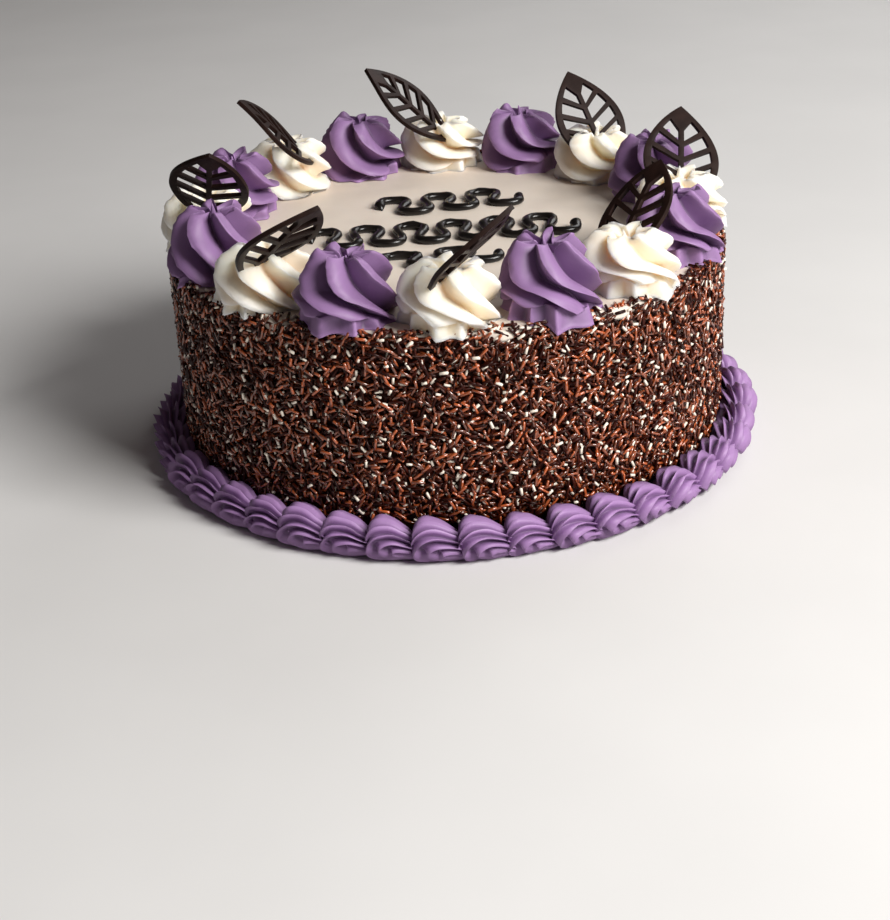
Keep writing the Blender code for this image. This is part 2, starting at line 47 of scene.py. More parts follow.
import bmesh
import bpy
import numpy as np
from bpy.props import FloatProperty, FloatVectorProperty, IntProperty, PointerProperty
from bpy.types import Operator, Panel, PropertyGroup
from mathutils import Matrix, Vector

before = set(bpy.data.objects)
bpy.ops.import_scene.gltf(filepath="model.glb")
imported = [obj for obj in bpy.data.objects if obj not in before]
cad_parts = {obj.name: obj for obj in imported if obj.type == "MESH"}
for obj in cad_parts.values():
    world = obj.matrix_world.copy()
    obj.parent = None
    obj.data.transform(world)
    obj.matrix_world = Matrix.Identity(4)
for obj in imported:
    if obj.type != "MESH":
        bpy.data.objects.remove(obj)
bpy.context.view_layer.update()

MM = 0.001
FULL_TURN = 2.0 * math.pi

CREAM_LOW, CREAM_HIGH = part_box("cream_top")
TOP_HEIGHT = CREAM_HIGH.z

# The wall behind the strands
CORE_RADIUS = 103.9 * MM
CORE_HUB = 0.3 * CORE_RADIUS  # radius of the innermost ring at each of its ends
CORE_FOOT = 0.4 * MM  # height of the bevel round its foot
CORE_BEVEL = 0.5 * MM  # width of that bevel
CORE_RIM = TOP_HEIGHT - 1.4 * MM
CORE_RISE = 0.2 * MM  # how far it rises inside the rim, over the width of the ledge
CORE_LEDGE = 3.0 * MM
CORE_DISH = 1.5 * MM  # how deep its upper end is dished under the cream
CORE_BUMP = 0.5 * MM
CORE_BUMP_WIDTH = 6 * MM
CORE_COLUMNS = 240
CORE_ROWS = 40

# The coat of strands
STRAND_SIDES = 5
STRAND_LOWEST = 9.5 * MM
STRAND_HIGHEST = TOP_HEIGHT - 1.0 * MM
STRAND_LAYERS = (104.25 * MM, 105.0 * MM, 105.75 * MM)  # radius of each layer's middle lines
STRAND_RING = 0.44  # share of its length from the middle to where its end closes
STRAND_LENGTHS = (0.62, 1.18)  # shortest and longest, as shares of the usual length
STRAND_WIDTHS = (0.86, 1.12)
STRAND_TURN_SPREAD = 0.01  # in radians round the cake
STRAND_HEIGHT_SPREAD = 0.5 * MM
STRAND_LAYER_SPREAD = 0.16 * MM
STRAND_TILT = 0.13  # how far strands stand off the side, in radians
STRAY_SHARE = 0.04  # share of the strands that stand out more than the others
STRAY_TILT = 3.2
RIM_BAND = 2.2 * MM  # height of the band under the rim where strands lie level
RIM_LIE_SPREAD = 0.35
STRAND_RIM_SHARE = 0.035  # share of the strands that lie on the edge of the top
STRAND_RIM_REACH = 3.2 * MM
RIM_TURN_RADIUS = 103.2 * MM
RIM_ROUND = 1.6 * MM
RIM_ROUND_LOW = TOP_HEIGHT - 1.1 * MM

# The cream on the top
TOP_RINGS = 70
TOP_COLUMNS = 256
TOP_INNER_SHARE = 0.06
TOP_RADIUS = 103.3 * MM
TOP_LEVEL = TOP_HEIGHT - 0.25 * MM
EDGE_ROUND = 1.3 * MM
EDGE_STEPS = 6
EDGE_DROOP = 0.9  # how much deeper the edge hangs for each length that it was pushed out
# Where cream was pushed out over the edge: (angle and half width in degrees, reach in mm)
CREAM_SMEARS = (
    (-80.6, 3.0, 2.6),
    (-56.8, 4.0, 2.8),
    (-47.5, 3.0, 2.3),
    (-126.0, 2.5, 2.0),
    (35.0, 3.5, 2.4),
    (118.0, 3.0, 2.2),
    (171.0, 3.0, 2.4),
)

# The piped swirls
SWIRL_COUNT = 16
SWIRL_RING_RADIUS = 89.4 * MM
FIRST_SWIRL_ANGLE = math.radians(-157.5)
SWIRL_RADIUS = 17.25 * MM
SWIRL_SMALLEST = 0.975
PURPLE_SWIRL_HEIGHT = 25.8 * MM
WHITE_SWIRL_HEIGHT = 22.4 * MM
SWIRL_HEIGHT_SPREAD = 0.04
WHITE_CROWN_WIDTH = 1.06  # the white swirls' outline, compared with the purple ones'
WHITE_CROWN_HEIGHT = 0.95
WHITE_VALLEYS = 0.74
SWIRL_TURN = math.radians(140)
SWIRL_TURN_SPREAD = 0.07
SWIRL_SWAY = 1.4 * MM
SWIRL_SEED = 40
SWIRL_LEAN = 1.6 * MM  # how far a foot stands out towards the rim of the cake
SWIRL_SAG = 2.4 * MM  # how far a swirl sinks to one side
SWIRL_DROOP = 0.6  # how steeply a foot hangs where it reaches past the rim
RIM_RADIUS = 105.0 * MM
PRESSED = 1.2 * MM  # height under which the cream of a foot is pressed together
SPIKE_LOSS = 5.0 * MM  # the most that is broken off the spike in the middle
PLEATS = 10  # folds of the foot, all round
PLEAT_UNEVEN = 0.6
PLEAT_ROUND = 1.5
FOOT_FLARE = 1.1 * MM
SWIRL_ROWS = 46
RIDGE_UNEVEN = 0.13  # how much fuller or thinner a ridge is than its neighbours
LIP_OVERHANG = 0.06  # share of a ridge's width that its lip hangs over the next valley
CROWN_OUT = 0.56  # share of the radius where the crests end at the top
CROWN_WIDTH = 0.13
CROWN_TORN_WHITE = 1.4 * MM
CROWN_TORN_PURPLE = 2.2 * MM
SEAM_SHARE = 0.14  # share of the height where the coil begins to lie over the foot's pleats
SEAM_WIDTH = 0.07
SEAM_SCALLOP = 1.3 * MM
SEAM_TILT = 4.6 * MM  # how much higher that line is on its left than in the middle
SEAM_LEFT = math.radians(70)
SEAM_LEFT_SPREAD = 0.4
LUMP_WIDTH = 15 * MM
LUMP_DEPTH = 0.45 * MM
NICK_WIDTH = 2.4 * MM
NICK_DEPTH = 0.38 * MM
# Where the mesh's columns stand across one ridge: close together at its sharp lip
RIDGE_COLUMNS = (0.0, 0.02, 0.06, 0.12, 0.18, 0.24, 0.30, 0.36, 0.41, 0.45, 0.49, 0.54,
                 0.60, 0.66, 0.73, 0.80, 0.86, 0.92, 0.96, 0.985)
# Round one ridge, from its lip on: (share of the ridge, share of the valley's depth)
RIDGE_SECTION = (
    (0.00, 0.00),
    (0.04, 0.01),
    (0.12, 0.06),
    (0.20, 0.17),
    (0.28, 0.38),
    (0.35, 0.66),
    (0.41, 0.92),
    (0.46, 1.00),
    (0.54, 0.97),
    (0.64, 0.84),
    (0.74, 0.64),
    (0.84, 0.38),
    (0.93, 0.12),
    (1.00, 0.00),
)
# From the foot up: (share of height, share of radius, valley depth, share of the turn,
# how far the section is the coil's rather than the foot's)
SWIRL_OUTLINE = (
    (0.00, 1.03, 0.17, 0.00, 0.0),
    (0.04, 1.00, 0.19, 0.00, 0.0),
    (0.08, 0.98, 0.19, 0.00, 0.0),
    (0.12, 0.95, 0.18, 0.00, 0.1),
    (0.12, 0.98, 0.32, 0.02, 0.9),
    (0.14, 1.03, 0.45, 0.06, 1.0),
    (0.22, 1.06, 0.50, 0.22, 1.0),
    (0.34, 1.04, 0.52, 0.40, 1.0),
    (0.47, 1.00, 0.54, 0.54, 1.0),
    (0.60, 0.95, 0.56, 0.64, 1.0),
    (0.71, 0.88, 0.58, 0.70, 1.0),
    (0.81, 0.78, 0.60, 0.74, 1.0),
    (0.88, 0.65, 0.62, 0.78, 1.0),
    (0.91, 0.52, 0.62, 0.83, 1.0),
    (0.86, 0.38, 0.60, 0.90, 1.0),
    (0.76, 0.22, 0.40, 0.95, 0.6),
    (0.80, 0.10, 0.20, 0.97, 0.3),
    (0.94, 0.05, 0.10, 0.98, 0.0),
    (1.04, 0.012, 0.10, 1.00, 0.0),
)

# The pierced leaves, as the frame's leaves stand
LEAF_LENGTH = 48.0 * MM
LEAF_WIDTH = 29.4 * MM
LEAF_THICKNESS = 1.6 * MM
LEAF_BORDER = 2.8 * MM
LEAF_MIDRIB = 2.0 * MM
LEAF_VEIN = 2.0 * MM
LEAF_WINDOWS = 5
LEAF_SLANT = 5.4 * MM
LEAF_FOOT_SOLID = 5.0 * MM
LEAF_TIP_SOLID = 9.2 * MM
LEAF_FOOT_POINT = 1.6 * MM
LEAF_TIP_POINT = 4.4 * MM
LEAF_WAVE = 0.5 * MM
LEAF_TWIST = 120.0
LEAF_STEPS = 5
LEAF_LEAST_GAP = 0.3 * MM  # from the midrib to the border where a leaf is narrow
LEAF_FOOT_UP = 0.3 * MM
LEAF_EDGE_ROUND = 0.4 * MM
LEAF_SHARP_EDGE = math.radians(50)
LEAF_SMOOTH_EDGE = math.radians(40)

# The shell border
BORDER_SHELLS = 44
BORDER_SEED = 77
BORDER_FOOT_RADIUS = 104.3 * MM
SHELL_SMALLEST = 0.93
SHELL_LARGEST = 1.03
SHELL_CENTRE_OUT = 8.0 * MM  # from the coat to the middle line of a shell
SHELL_CENTRE_UP = 0.94  # height of that line, as a share of the shell's radius
SHELL_STRETCH = 1.12  # how much wider than high a shell is
SHELL_EYE_ALONG = 4.5 * MM  # the eye that a shell's ridges curl round
SHELL_EYE_SPREAD = 0.9 * MM
SHELL_EYE_LOW = math.radians(-24)
SHELL_RIDGE_ALONG = 4.6 * MM  # from one ridge to the next, towards the head
SHELL_RIDGE_ABOVE = math.radians(25)
SHELL_RIDGE_BELOW = math.radians(18)
SHELL_RIDGES = 7
SHELL_SPACINGS = (0.85, 1.15)  # least and most, as shares of the usual spacing
SHELL_LENGTHS = (0.96, 1.04)
SHELL_TURN_SPREAD = 0.07
SHELL_FORM_STEPS = 80
SHELL_GROOVE_ROUND = 2.5  # the higher, the sharper a crest beside its round grooves
SHELL_LUMP_WIDTH = 9 * MM
SHELL_LUMP_DEPTH = 0.25 * MM
SHELL_LOWEST = 0.3 * MM
SHELL_NEAREST = 0.2 * MM
RIDGE_POINTS = (0.0, 0.10, 0.30, 0.5, 0.70, 0.90)  # where the mesh's rows stand across a ridge
SHELL_CURVE_STEPS = 13
SHELL_TAIL_STEPS = 9
# (along the border, radius of the shell there, depth of its grooves)
SHELL_FORM = (
    (-8.4, 0.2, 0.0),
    (-8.3, 3.9, 2.3),
    (-7.6, 6.1, 3.6),
    (-6.2, 7.3, 4.1),
    (-4.0, 7.8, 4.1),
    (-1.2, 7.6, 3.9),
    (1.8, 7.1, 3.6),
    (4.8, 6.1, 3.1),
    (7.8, 4.9, 2.3),
    (10.6, 3.3, 1.2),
    (12.6, 0.2, 0.0),
)

# The dark piping
PIPING_STEPS_PER_WAVE = 26
PIPING_SIDES = 16
PIPING_BULGE = 0.36
PIPING_UNEVEN = 0.10
PIPING_LUMP_WIDTH = 9 * MM
PIPING_BLOB = 0.22  # how much thicker a line is near its ends
PIPING_BLOB_FROM_END = 2.0 * MM
PIPING_BLOB_LENGTH = 1.8 * MM

# The floor
FLOOR_HALF = 6.0
FLOOR_POINTS = 12
SUNK = 0.2 * MM  # how far one thing is sunk into or laid under another, so that no gap shows

# The light
LIGHTS_AIM = (0.0, 0.0, 0.06)
SKY_COLOUR = (0.98, 0.84, 0.80)
SKY_STRENGTH = 0.06

# The camera
PICTURE_WIDTH = 890
PICTURE_HEIGHT = 920
FOCAL_PIXELS = 1726.09
SENSOR = 36.0
CAMERA_PLACE = (0.0, -0.633406, 0.297988)
CAMERA_PITCH = 0.4633
CAMERA_YAW = -0.0069
CAMERA_ROLL = -0.0461


def hex_colour(code):
    """An sRGB hex value such as "8a62a0" as a linear colour."""
    channels = []
    for place in (0, 2, 4):
        value = int(code[place:place + 2], 16) / 255.0
        if value <= 0.04045:
            channels.append(value / 12.92)
        else:
            channels.append(((value + 0.055) / 1.055) ** 2.4)
    return tuple(channels)


def a_length(name, description, default):
    """A length that a user may change."""
    return FloatProperty(name=name, description=description, default=default, unit="LENGTH")


def a_count(name, description, default, lowest=1):
    """A whole number that a user may change."""
    return IntProperty(name=name, description=description, default=default, min=lowest)


def a_colour(name, description, code):
    """A colour that a user may change, given as an sRGB hex value."""
    return FloatVectorProperty(name=name, description=description, default=hex_colour(code),
                               subtype="COLOR")


class CakeSizes(PropertyGroup):
    """Sizes and numbers of the dressed cake's parts."""

    strand_length: a_length("Strand length", "Length of a chocolate strand", 4.5 * MM)
    strand_width: a_length("Strand width", "Thickness of a chocolate strand", 1.08 * MM)
    milk_strands: a_count("Milk strands", "Milk chocolate strands on the side", 9900)
    dark_strands: a_count("Dark strands", "Dark chocolate strands on the side", 9600)
    white_strands: a_count("White strands", "White chocolate strands on the side", 3300)
    ridges: a_count("Ridges", "Ridges that the star nozzle leaves on a swirl", 6, lowest=3)
    piping_width: a_length("Piping width", "Width of a line of dark piping", 3.6 * MM)
    piping_height: a_length("Piping height", "Height of a line of dark piping", 2.9 * MM)


class CakeColours(PropertyGroup):
    """Colours of the dressed cake."""

    purple: a_colour("Purple cream", "Purple butter cream of the swirls and border", "8a6a95")
    white: a_colour("White cream", "White butter cream of the swirls", "faeddb")
    # The white swirls' folds are painted in this colour, as painted shade
    white_fold_shade: a_colour("White cream's folds", "White butter cream in its folds", "f4dbb2")
    top: a_colour("Top cream", "Smooth cream spread over the top", "d9cdc0")
    milk: a_colour("Milk chocolate", "Milk chocolate strands", "88411f")
    dark: a_colour("Dark chocolate", "Dark chocolate strands", "2e0a02")
    pale: a_colour("White chocolate", "White chocolate strands", "efe4d4")
    leaf: a_colour("Leaf chocolate", "Dark chocolate of the leaves", "21130f")
    gel: a_colour("Piping", "Dark glossy piping on the top", "100c0a")
    floor: a_colour("Floor", "Pale studio floor", "dad9d8")


# ---- meshes


def spline(points, count):
    """A smooth curve through the points, sampled evenly between its ends."""
    table = np.array(points, float)
    padded = np.vstack([2 * table[0] - table[1], table, 2 * table[-1] - table[-2]])
    place = np.linspace(0.0, len(table) - 1.0, count)
    index = np.minimum(place.astype(int), len(table) - 2)
    share = (place - index)[:, None]
    before, here, there, after = (padded[index + step] for step in range(4))
    return 0.5 * (
        2 * here
        + (there - before) * share
        + (2 * before - 5 * here + 4 * there - after) * share**2
        + (3 * here - before - 3 * there + after) * share**3
    )


def ripple(places, wavelength, seed, waves=9):
    """Smooth seeded unevenness between about -1 and 1 at the given places."""
    draw = np.random.default_rng(seed)
    total = np.zeros(places.shape[:-1])
    for _ in range(waves):
        direction = draw.normal(size=places.shape[-1])
        direction *= FULL_TURN / wavelength / np.linalg.norm(direction)
        stretch = draw.uniform(0.6, 1.5)
        total += np.sin(places @ direction * stretch + draw.uniform(0, FULL_TURN))
    return total / math.sqrt(waves) / 1.4


def grid_faces(rows, columns, closed=True):
    """Quads between rows of points; a closed row also joins its last point to its first."""
    row = np.arange(rows - 1)[:, None] * columns
    here = np.arange(columns if closed else columns - 1)[None, :]
    there = (here + 1) % columns
    quads = np.stack([row + here, row + there, row + columns + there, row + columns + here], -1)
    return quads.reshape(-1, 4)


def closed_tube(rings, first_end, last_end):
    """Vertices, quads and triangles of rings of points, closed by a point at each end."""
    count, columns = rings.shape[:2]
    vertices = np.vstack([rings.reshape(-1, 3), [first_end, last_end]])
    here = np.arange(columns)
    there = (here + 1) % columns
    last_ring = (count - 1) * columns
    tip = np.full(columns, count * columns)
    first_fan = np.stack([there, here, tip], -1)
    last_fan = np.stack([here + last_ring, there + last_ring, tip + 1], -1)
    return vertices, grid_faces(count, columns), np.vstack([first_fan, last_fan])


def new_piece(name, vertices, quads, triangles, material):
    """A smooth-shaded mesh object from arrays, riding on the cake."""
    mesh = bpy.data.meshes.new(name)
    vertices = np.asarray(vertices, np.float32).reshape(-1, 3)
    quads = np.asarray(quads, np.int32).reshape(-1, 4)
    triangles = np.asarray(triangles, np.int32).reshape(-1, 3)
    mesh.vertices.add(len(vertices))
    mesh.vertices.foreach_set("co", vertices.ravel())
    corners = np.concatenate([quads.ravel(), triangles.ravel()])
    mesh.loops.add(len(corners))
    mesh.loops.foreach_set("vertex_index", corners)
    counts = np.concatenate([np.full(len(quads), 4), np.full(len(triangles), 3)])
    starts = np.concatenate([[0], np.cumsum(counts)[:-1]]).astype(np.int32)
    mesh.polygons.add(len(counts))
    mesh.polygons.foreach_set("loop_start", starts)
    mesh.polygons.foreach_set("use_smooth", np.ones(len(counts), bool))
    mesh.update(calc_edges=True)
    mesh.validate()
    mesh.materials.append(material)
    piece = bpy.data.objects.new(name, mesh)
    bpy.context.scene.collection.objects.link(piece)
    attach(piece, "root")
    return piece


# ---- materials


def add_node(material, kind, settings=None, links=None, stops=()):
    """Add a node, set its inputs, attributes and colour stops, and link its inputs."""
    node = material.node_tree.nodes.new(kind)
    for key, value in (settings or {}).items():
        if isinstance(key, int) or key in node.inputs:
            node.inputs[key].default_value = value
        else:
            setattr(node, key, value)
    for key, socket in (links or {}).items():
        material.node_tree.links.new(socket, node.inputs[key])
    for number, (position, colour) in enumerate(stops):
        elements = node.color_ramp.elements
        stop = elements[number] if number < len(elements) else elements.new(position)
        stop.position = position
        stop.color = (*colour, 1.0)
    return node


def new_material(name, settings):
    """A material with these constants, its shader, and the piece's own coordinates in metres."""
    material = bpy.data.materials.new(name)
    material.use_nodes = True
    shader = material.node_tree.nodes["Principled BSDF"]
    for key, value in settings.items():
        shader.inputs[key].default_value = value
    return material, shader, add_node(material, "ShaderNodeTexCoord").outputs["Object"]


def tinted(colour, factor):
    """A colour made lighter or darker by a factor."""
    return tuple(min(1.0, channel * factor) for channel in colour)


def shades_of(material, factor, colour, dark, light, positions):
    """A colour that goes from a darker to a lighter shade of itself as the factor rises."""
    shades = (tinted(colour, dark), colour, tinted(colour, light))
    ramp = add_node(material, "ShaderNodeValToRGB", links={"Fac": factor},
                    stops=zip(positions, shades))
    return ramp.outputs["Color"]


def finish(material, shader, colour, height, strength, depth):
    """Give the shader its colour, and a fine relief of this depth that follows a height."""
    bump = add_node(material, "ShaderNodeBump", {"Strength": strength, "Distance": depth},
                    {"Height": height})
    material.node_tree.links.new(colour, shader.inputs["Base Color"])
    material.node_tree.links.new(bump.outputs["Normal"], shader.inputs["Normal"])
    return material


def butter_cream(name, colour, folds, light_through):
    """Whipped butter cream, piped through a star nozzle."""
    # Satin, not glossy; light passes a little way through it, which softens its shadows
    material, shader, place = new_material(name, {
        "Roughness": 0.5,
        "IOR": 1.46,
        "Subsurface Weight": light_through,
        "Subsurface Radius": (1.0, 0.96, 0.9),
        "Subsurface Scale": 1.5 * MM + 4.5 * MM * light_through,
        "Specular IOR Level": 0.42,
    })
    # Soft patches about 14 mm wide, where the cream is mixed unevenly
    patches = add_node(material, "ShaderNodeTexNoise", {"Scale": 1 / (14 * MM), "Detail": 3.0},
                       {"Vector": place})
    cream = shades_of(material, patches.outputs["Fac"], colour, 0.90, 1.08, (0.30, 0.52, 0.74))
    # Deep folds are painted in a darker, warmer colour, as painted shade, and thin lips are painted
    # paler,
    # as a painted highlight. Each row: the pointiness from and to which that colour is mixed in, its
    # shares there, and that colour
    edges = add_node(material, "ShaderNodeNewGeometry").outputs["Pointiness"]
    painted_shade_and_highlight = (
        (0.43, 0.508, 1.0, 0.0, folds),
        (0.515, 0.59, 0.0, 0.8, tinted(colour, 1.55)),
    )
    for low, high, share_low, share_high, shade in painted_shade_and_highlight:
        share = add_node(material, "ShaderNodeMapRange", {
            "From Min": low, "From Max": high, "To Min": share_low, "To Max": share_high,
        }, {"Value": edges})
        mix = add_node(material, "ShaderNodeMix", {"data_type": "RGBA", 7: (*shade, 1.0)},
                       {0: share.outputs["Result"], 6: cream})
        cream = mix.outputs[2]
    # Air pits a little under 1 mm across
    pits = add_node(material, "ShaderNodeTexNoise", {"Scale": 1 / (0.9 * MM), "Detail": 2.0},
                    {"Vector": place})
    return finish(material, shader, cream, pits.outputs["Fac"], 0.16, 0.25 * MM)


def purple_butter_cream(name, colour):
    """Butter cream with purple colouring, which lets little light through."""
    # Its folds are painted at 0.35 of its colour, as painted shade
    return butter_cream(name, colour, tinted(colour, 0.35), 0.06)


def strand_chocolate(name, colour, spread, roughness, gloss):
    """Chocolate strands, extruded and polished."""
    # Each strand has its own shade, and a thin polish that catches small highlights
    material, shader, place = new_material(name, {
        "Roughness": roughness,
        "IOR": 1.5,
        "Specular IOR Level": gloss,
        "Coat Weight": 0.7 * gloss,
        "Coat Roughness": 0.18,
    })
    one_each = add_node(material, "ShaderNodeNewGeometry").outputs["Random Per Island"]
    tone = shades_of(material, one_each, colour, 1.0 - spread, 1.0 + 1.4 * spread,
                     (0.0, 0.55, 1.0))
    # Grain of about 0.5 mm left by the extruder
    grain = add_node(material, "ShaderNodeTexNoise", {"Scale": 1 / (0.5 * MM), "Detail": 2.0},
                     {"Vector": place})
    return finish(material, shader, tone, grain.outputs["Fac"], 0.25, 0.15 * MM)


def spread_cream(name, colour):
    """Butter cream spread flat and smoothed with a toothed comb."""
    # Satin, with faint straight lines, pits and wide soft patches where it lies thicker
    material, shader, place = new_material(name, {
        "Roughness": 0.5,
        "IOR": 1.46,
        "Subsurface Weight": 0.15,
        "Subsurface Radius": (1.0, 0.75, 0.6),
        "Subsurface Scale": 1.5 * MM,
    })
    patches = add_node(material, "ShaderNodeTexNoise", {"Scale": 1 / (35 * MM), "Detail": 4.0},
                       {"Vector": place})
    tone = shades_of(material, patches.outputs["Fac"], colour, 0.93, 1.05, (0.32, 0.5, 0.7))
    # Comb lines 1.4 mm apart that run across the cake; the texture draws 20 bands in each
    # 2 pi of its own units, hence the 0.05
    lines = add_node(material, "ShaderNodeTexWave", {
        "bands_direction": "Y", "Scale": 0.05 * FULL_TURN / (1.4 * MM),
        "Distortion": 3.0, "Detail": 3.0, "Detail Scale": 0.3}, {"Vector": place})
    pits = add_node(material, "ShaderNodeTexNoise", {"Scale": 1 / (1.2 * MM), "Detail": 2.0},
                    {"Vector": place})
    relief = add_node(material, "ShaderNodeMath", {"operation": "ADD"},
                      {0: lines.outputs["Fac"], 1: pits.outputs["Fac"]})
    return finish(material, shader, tone, relief.outputs[0], 0.14, 0.2 * MM)


def set_chocolate(name, colour):
    """Tempered dark chocolate, piped thin and left to set."""
    # Dull satin with soft brighter streaks and a fine grain
    material, shader, place = new_material(name, {
        "Roughness": 0.5,
        "IOR": 1.45,
        "Specular IOR Level": 0.16,
    })
    streaks = add_node(material, "ShaderNodeTexNoise", {"Scale": 1 / (6 * MM), "Detail": 4.0},
                       {"Vector": place})
    tone = shades_of(material, streaks.outputs["Fac"], colour, 0.7, 1.5, (0.3, 0.5, 0.75))
    grain = add_node(material, "ShaderNodeTexNoise", {"Scale": 1 / (1.1 * MM), "Detail": 3.0},
                     {"Vector": place})
    return finish(material, shader, tone, grain.outputs["Fac"], 0.3, 0.2 * MM)


def piping_gel(name, colour):
    """Dark piping gel, piped and left to set."""
    # A wet gloss over gentle lumps, a little browner where the line is thin
    material, shader, place = new_material(name, {
        "Roughness": 0.3,
        "IOR": 1.45,
        "Specular IOR Level": 0.3,
        "Coat Weight": 0.25,
        "Coat Roughness": 0.1,
    })
    lumps = add_node(material, "ShaderNodeTexNoise", {"Scale": 1 / (5 * MM), "Detail": 2.0},
                     {"Vector": place}).outputs["Fac"]
    tone = shades_of(material, lumps, colour, 0.6, 1.8, (0.3, 0.5, 0.75))
    return finish(material, shader, tone, lumps, 0.2, 0.3 * MM)


def studio_paper(name, colour):
    """Pressed backing paper under the cake."""
    # Matt and nearly even, so that only the cake's soft shadow shows on it
    material, shader, place = new_material(name, {"Roughness": 0.85, "IOR": 1.45})
    fibres = add_node(material, "ShaderNodeTexNoise", {"Scale": 1 / (90 * MM), "Detail": 3.0},
                      {"Vector": place})
    tone = add_node(material, "ShaderNodeValToRGB", links={"Fac": fibres.outputs["Fac"]},
                    stops=((0.35, tinted(colour, 0.985)), (0.65, tinted(colour, 1.015))))
    material.node_tree.links.new(tone.outputs["Color"], shader.inputs["Base Color"])
    return material


# ---- the side


def polar(radius, angle, height):
    """Points from distances to the axis, angles and heights."""
    radius, angle, height = np.broadcast_arrays(radius, angle, height)
    return np.stack([radius * np.cos(angle), radius * np.sin(angle), height], -1)


def cake_core():
    """The inner wall behind the strands, with a rim that stands round the cream; it is dark, so that
    the gaps between the strands show as painted shade.
    """
    angle = np.arange(CORE_COLUMNS) * FULL_TURN / CORE_COLUMNS
    wall = [(CORE_RADIUS, height) for height in np.linspace(CORE_FOOT, CORE_RIM, CORE_ROWS)]
    outline = [(CORE_HUB, 0.0), (CORE_RADIUS - CORE_BEVEL, 0.0)] + wall
    outline += [(CORE_RADIUS - CORE_LEDGE, CORE_RIM + CORE_RISE), (CORE_HUB, CORE_RIM - CORE_DISH)]
    rings = np.array([polar(radius, angle, height) for radius, height in outline])
    bump = ripple(rings, CORE_BUMP_WIDTH, seed=3) * CORE_BUMP
    rings[2:-2] += polar(1.0, angle, 0.0) * bump[2:-2, :, None]
    return closed_tube(rings, (0, 0, 0), (0, 0, CORE_RIM - CORE_DISH))


def strand_template():
    """One strand along X, one unit long and one unit thick, with blunt ends."""
    turn = np.arange(STRAND_SIDES) * FULL_TURN / STRAND_SIDES
    circle = np.stack([np.zeros(STRAND_SIDES), 0.5 * np.cos(turn), 0.5 * np.sin(turn)], -1)
    rings = np.array([circle + (-STRAND_RING, 0, 0), circle + (STRAND_RING, 0, 0)])
    return closed_tube(rings, (-0.5, 0, 0), (0.5, 0, 0))


def strand_piece(name, count, seed, material, sizes, shortness=1.0, depth=1.0):
    """All strands of one kind, joined into one mesh; a depth above 1 buries more of them."""
    draw = np.random.default_rng(seed)
    golden = math.pi * (3.0 - math.sqrt(5.0))
    order = draw.permutation(count)
    angle = order * golden + draw.normal(0, STRAND_TURN_SPREAD, count)
    height = STRAND_LOWEST + (STRAND_HIGHEST - STRAND_LOWEST) * (order + 0.5) / count
    height += draw.normal(0, STRAND_HEIGHT_SPREAD, count)
    height = np.minimum(height, STRAND_HIGHEST)
    layer = (draw.uniform(0, 1, count) ** depth * len(STRAND_LAYERS)).astype(int)
    radius = np.array(STRAND_LAYERS)[layer] + draw.normal(0, STRAND_LAYER_SPREAD, count)
    lie = draw.uniform(0, math.pi, count)
    tilt = draw.normal(0, STRAND_TILT, count)
    stray = draw.uniform(0, 1, count) < STRAY_SHARE
    tilt = np.where(stray, tilt * STRAY_TILT, tilt)
    # Strands near the rim lie along it, so that few stand above the cream
    near_rim = np.clip((height - STRAND_HIGHEST + RIM_BAND) / RIM_BAND, 0, 1)
    lie = lie * (1 - near_rim) + near_rim * draw.normal(0, RIM_LIE_SPREAD, count)
    # A few strands lie on the edge of the top, in loose clumps
    on_rim = draw.uniform(0, 1, count) < STRAND_RIM_SHARE
    bend = np.where(on_rim, draw.uniform(0.2, 1.0, count) * math.pi / 2, 0.0)
    round_the_axis = polar(1.0, angle, 0.0)
    clump = np.clip(0.6 + ripple(round_the_axis, 0.35, seed=35), 0, 1.6)
    inward = np.sin(bend) * draw.uniform(0, 1, count) ** 1.5 * clump * STRAND_RIM_REACH
    radius = np.where(on_rim, RIM_TURN_RADIUS + RIM_ROUND * np.cos(bend) - inward, radius)
    height = np.where(on_rim, RIM_ROUND_LOW + RIM_ROUND * np.sin(bend), height)
    lie = np.where(on_rim, draw.uniform(0, math.pi, count), lie)
    # Each strand's own directions: along it, and two across it
    across = np.stack([-np.sin(angle), np.cos(angle), np.zeros(count)], -1)
    up = np.array((0.0, 0.0, 1.0))
    outward = round_the_axis * np.cos(bend)[:, None] + up * np.sin(bend)[:, None]
    upward = up * np.cos(bend)[:, None] - round_the_axis * np.sin(bend)[:, None]
    flat = across * np.cos(lie)[:, None] + upward * np.sin(lie)[:, None]
    along = flat * np.cos(tilt)[:, None] + outward * np.sin(tilt)[:, None]
    side = np.cross(outward, along)
    side /= np.linalg.norm(side, axis=1)[:, None]
    third = np.cross(along, side)
    length = sizes.strand_length * draw.uniform(*STRAND_LENGTHS, count) * shortness
    width = sizes.strand_width * draw.uniform(*STRAND_WIDTHS, count)
    template, quads, triangles = strand_template()
    vertices = polar(radius, angle, height)[:, None, :]
    for axis, (direction, size) in enumerate(((along, length), (side, width), (third, width))):
        stretched = (direction * size[:, None])[:, None, :]
        vertices = vertices + template[None, :, axis, None] * stretched
    steps = (np.arange(count) * len(template))[:, None, None]
    piece = new_piece(name, vertices, quads[None] + steps, triangles[None] + steps, material)
    return piece


# ---- the top


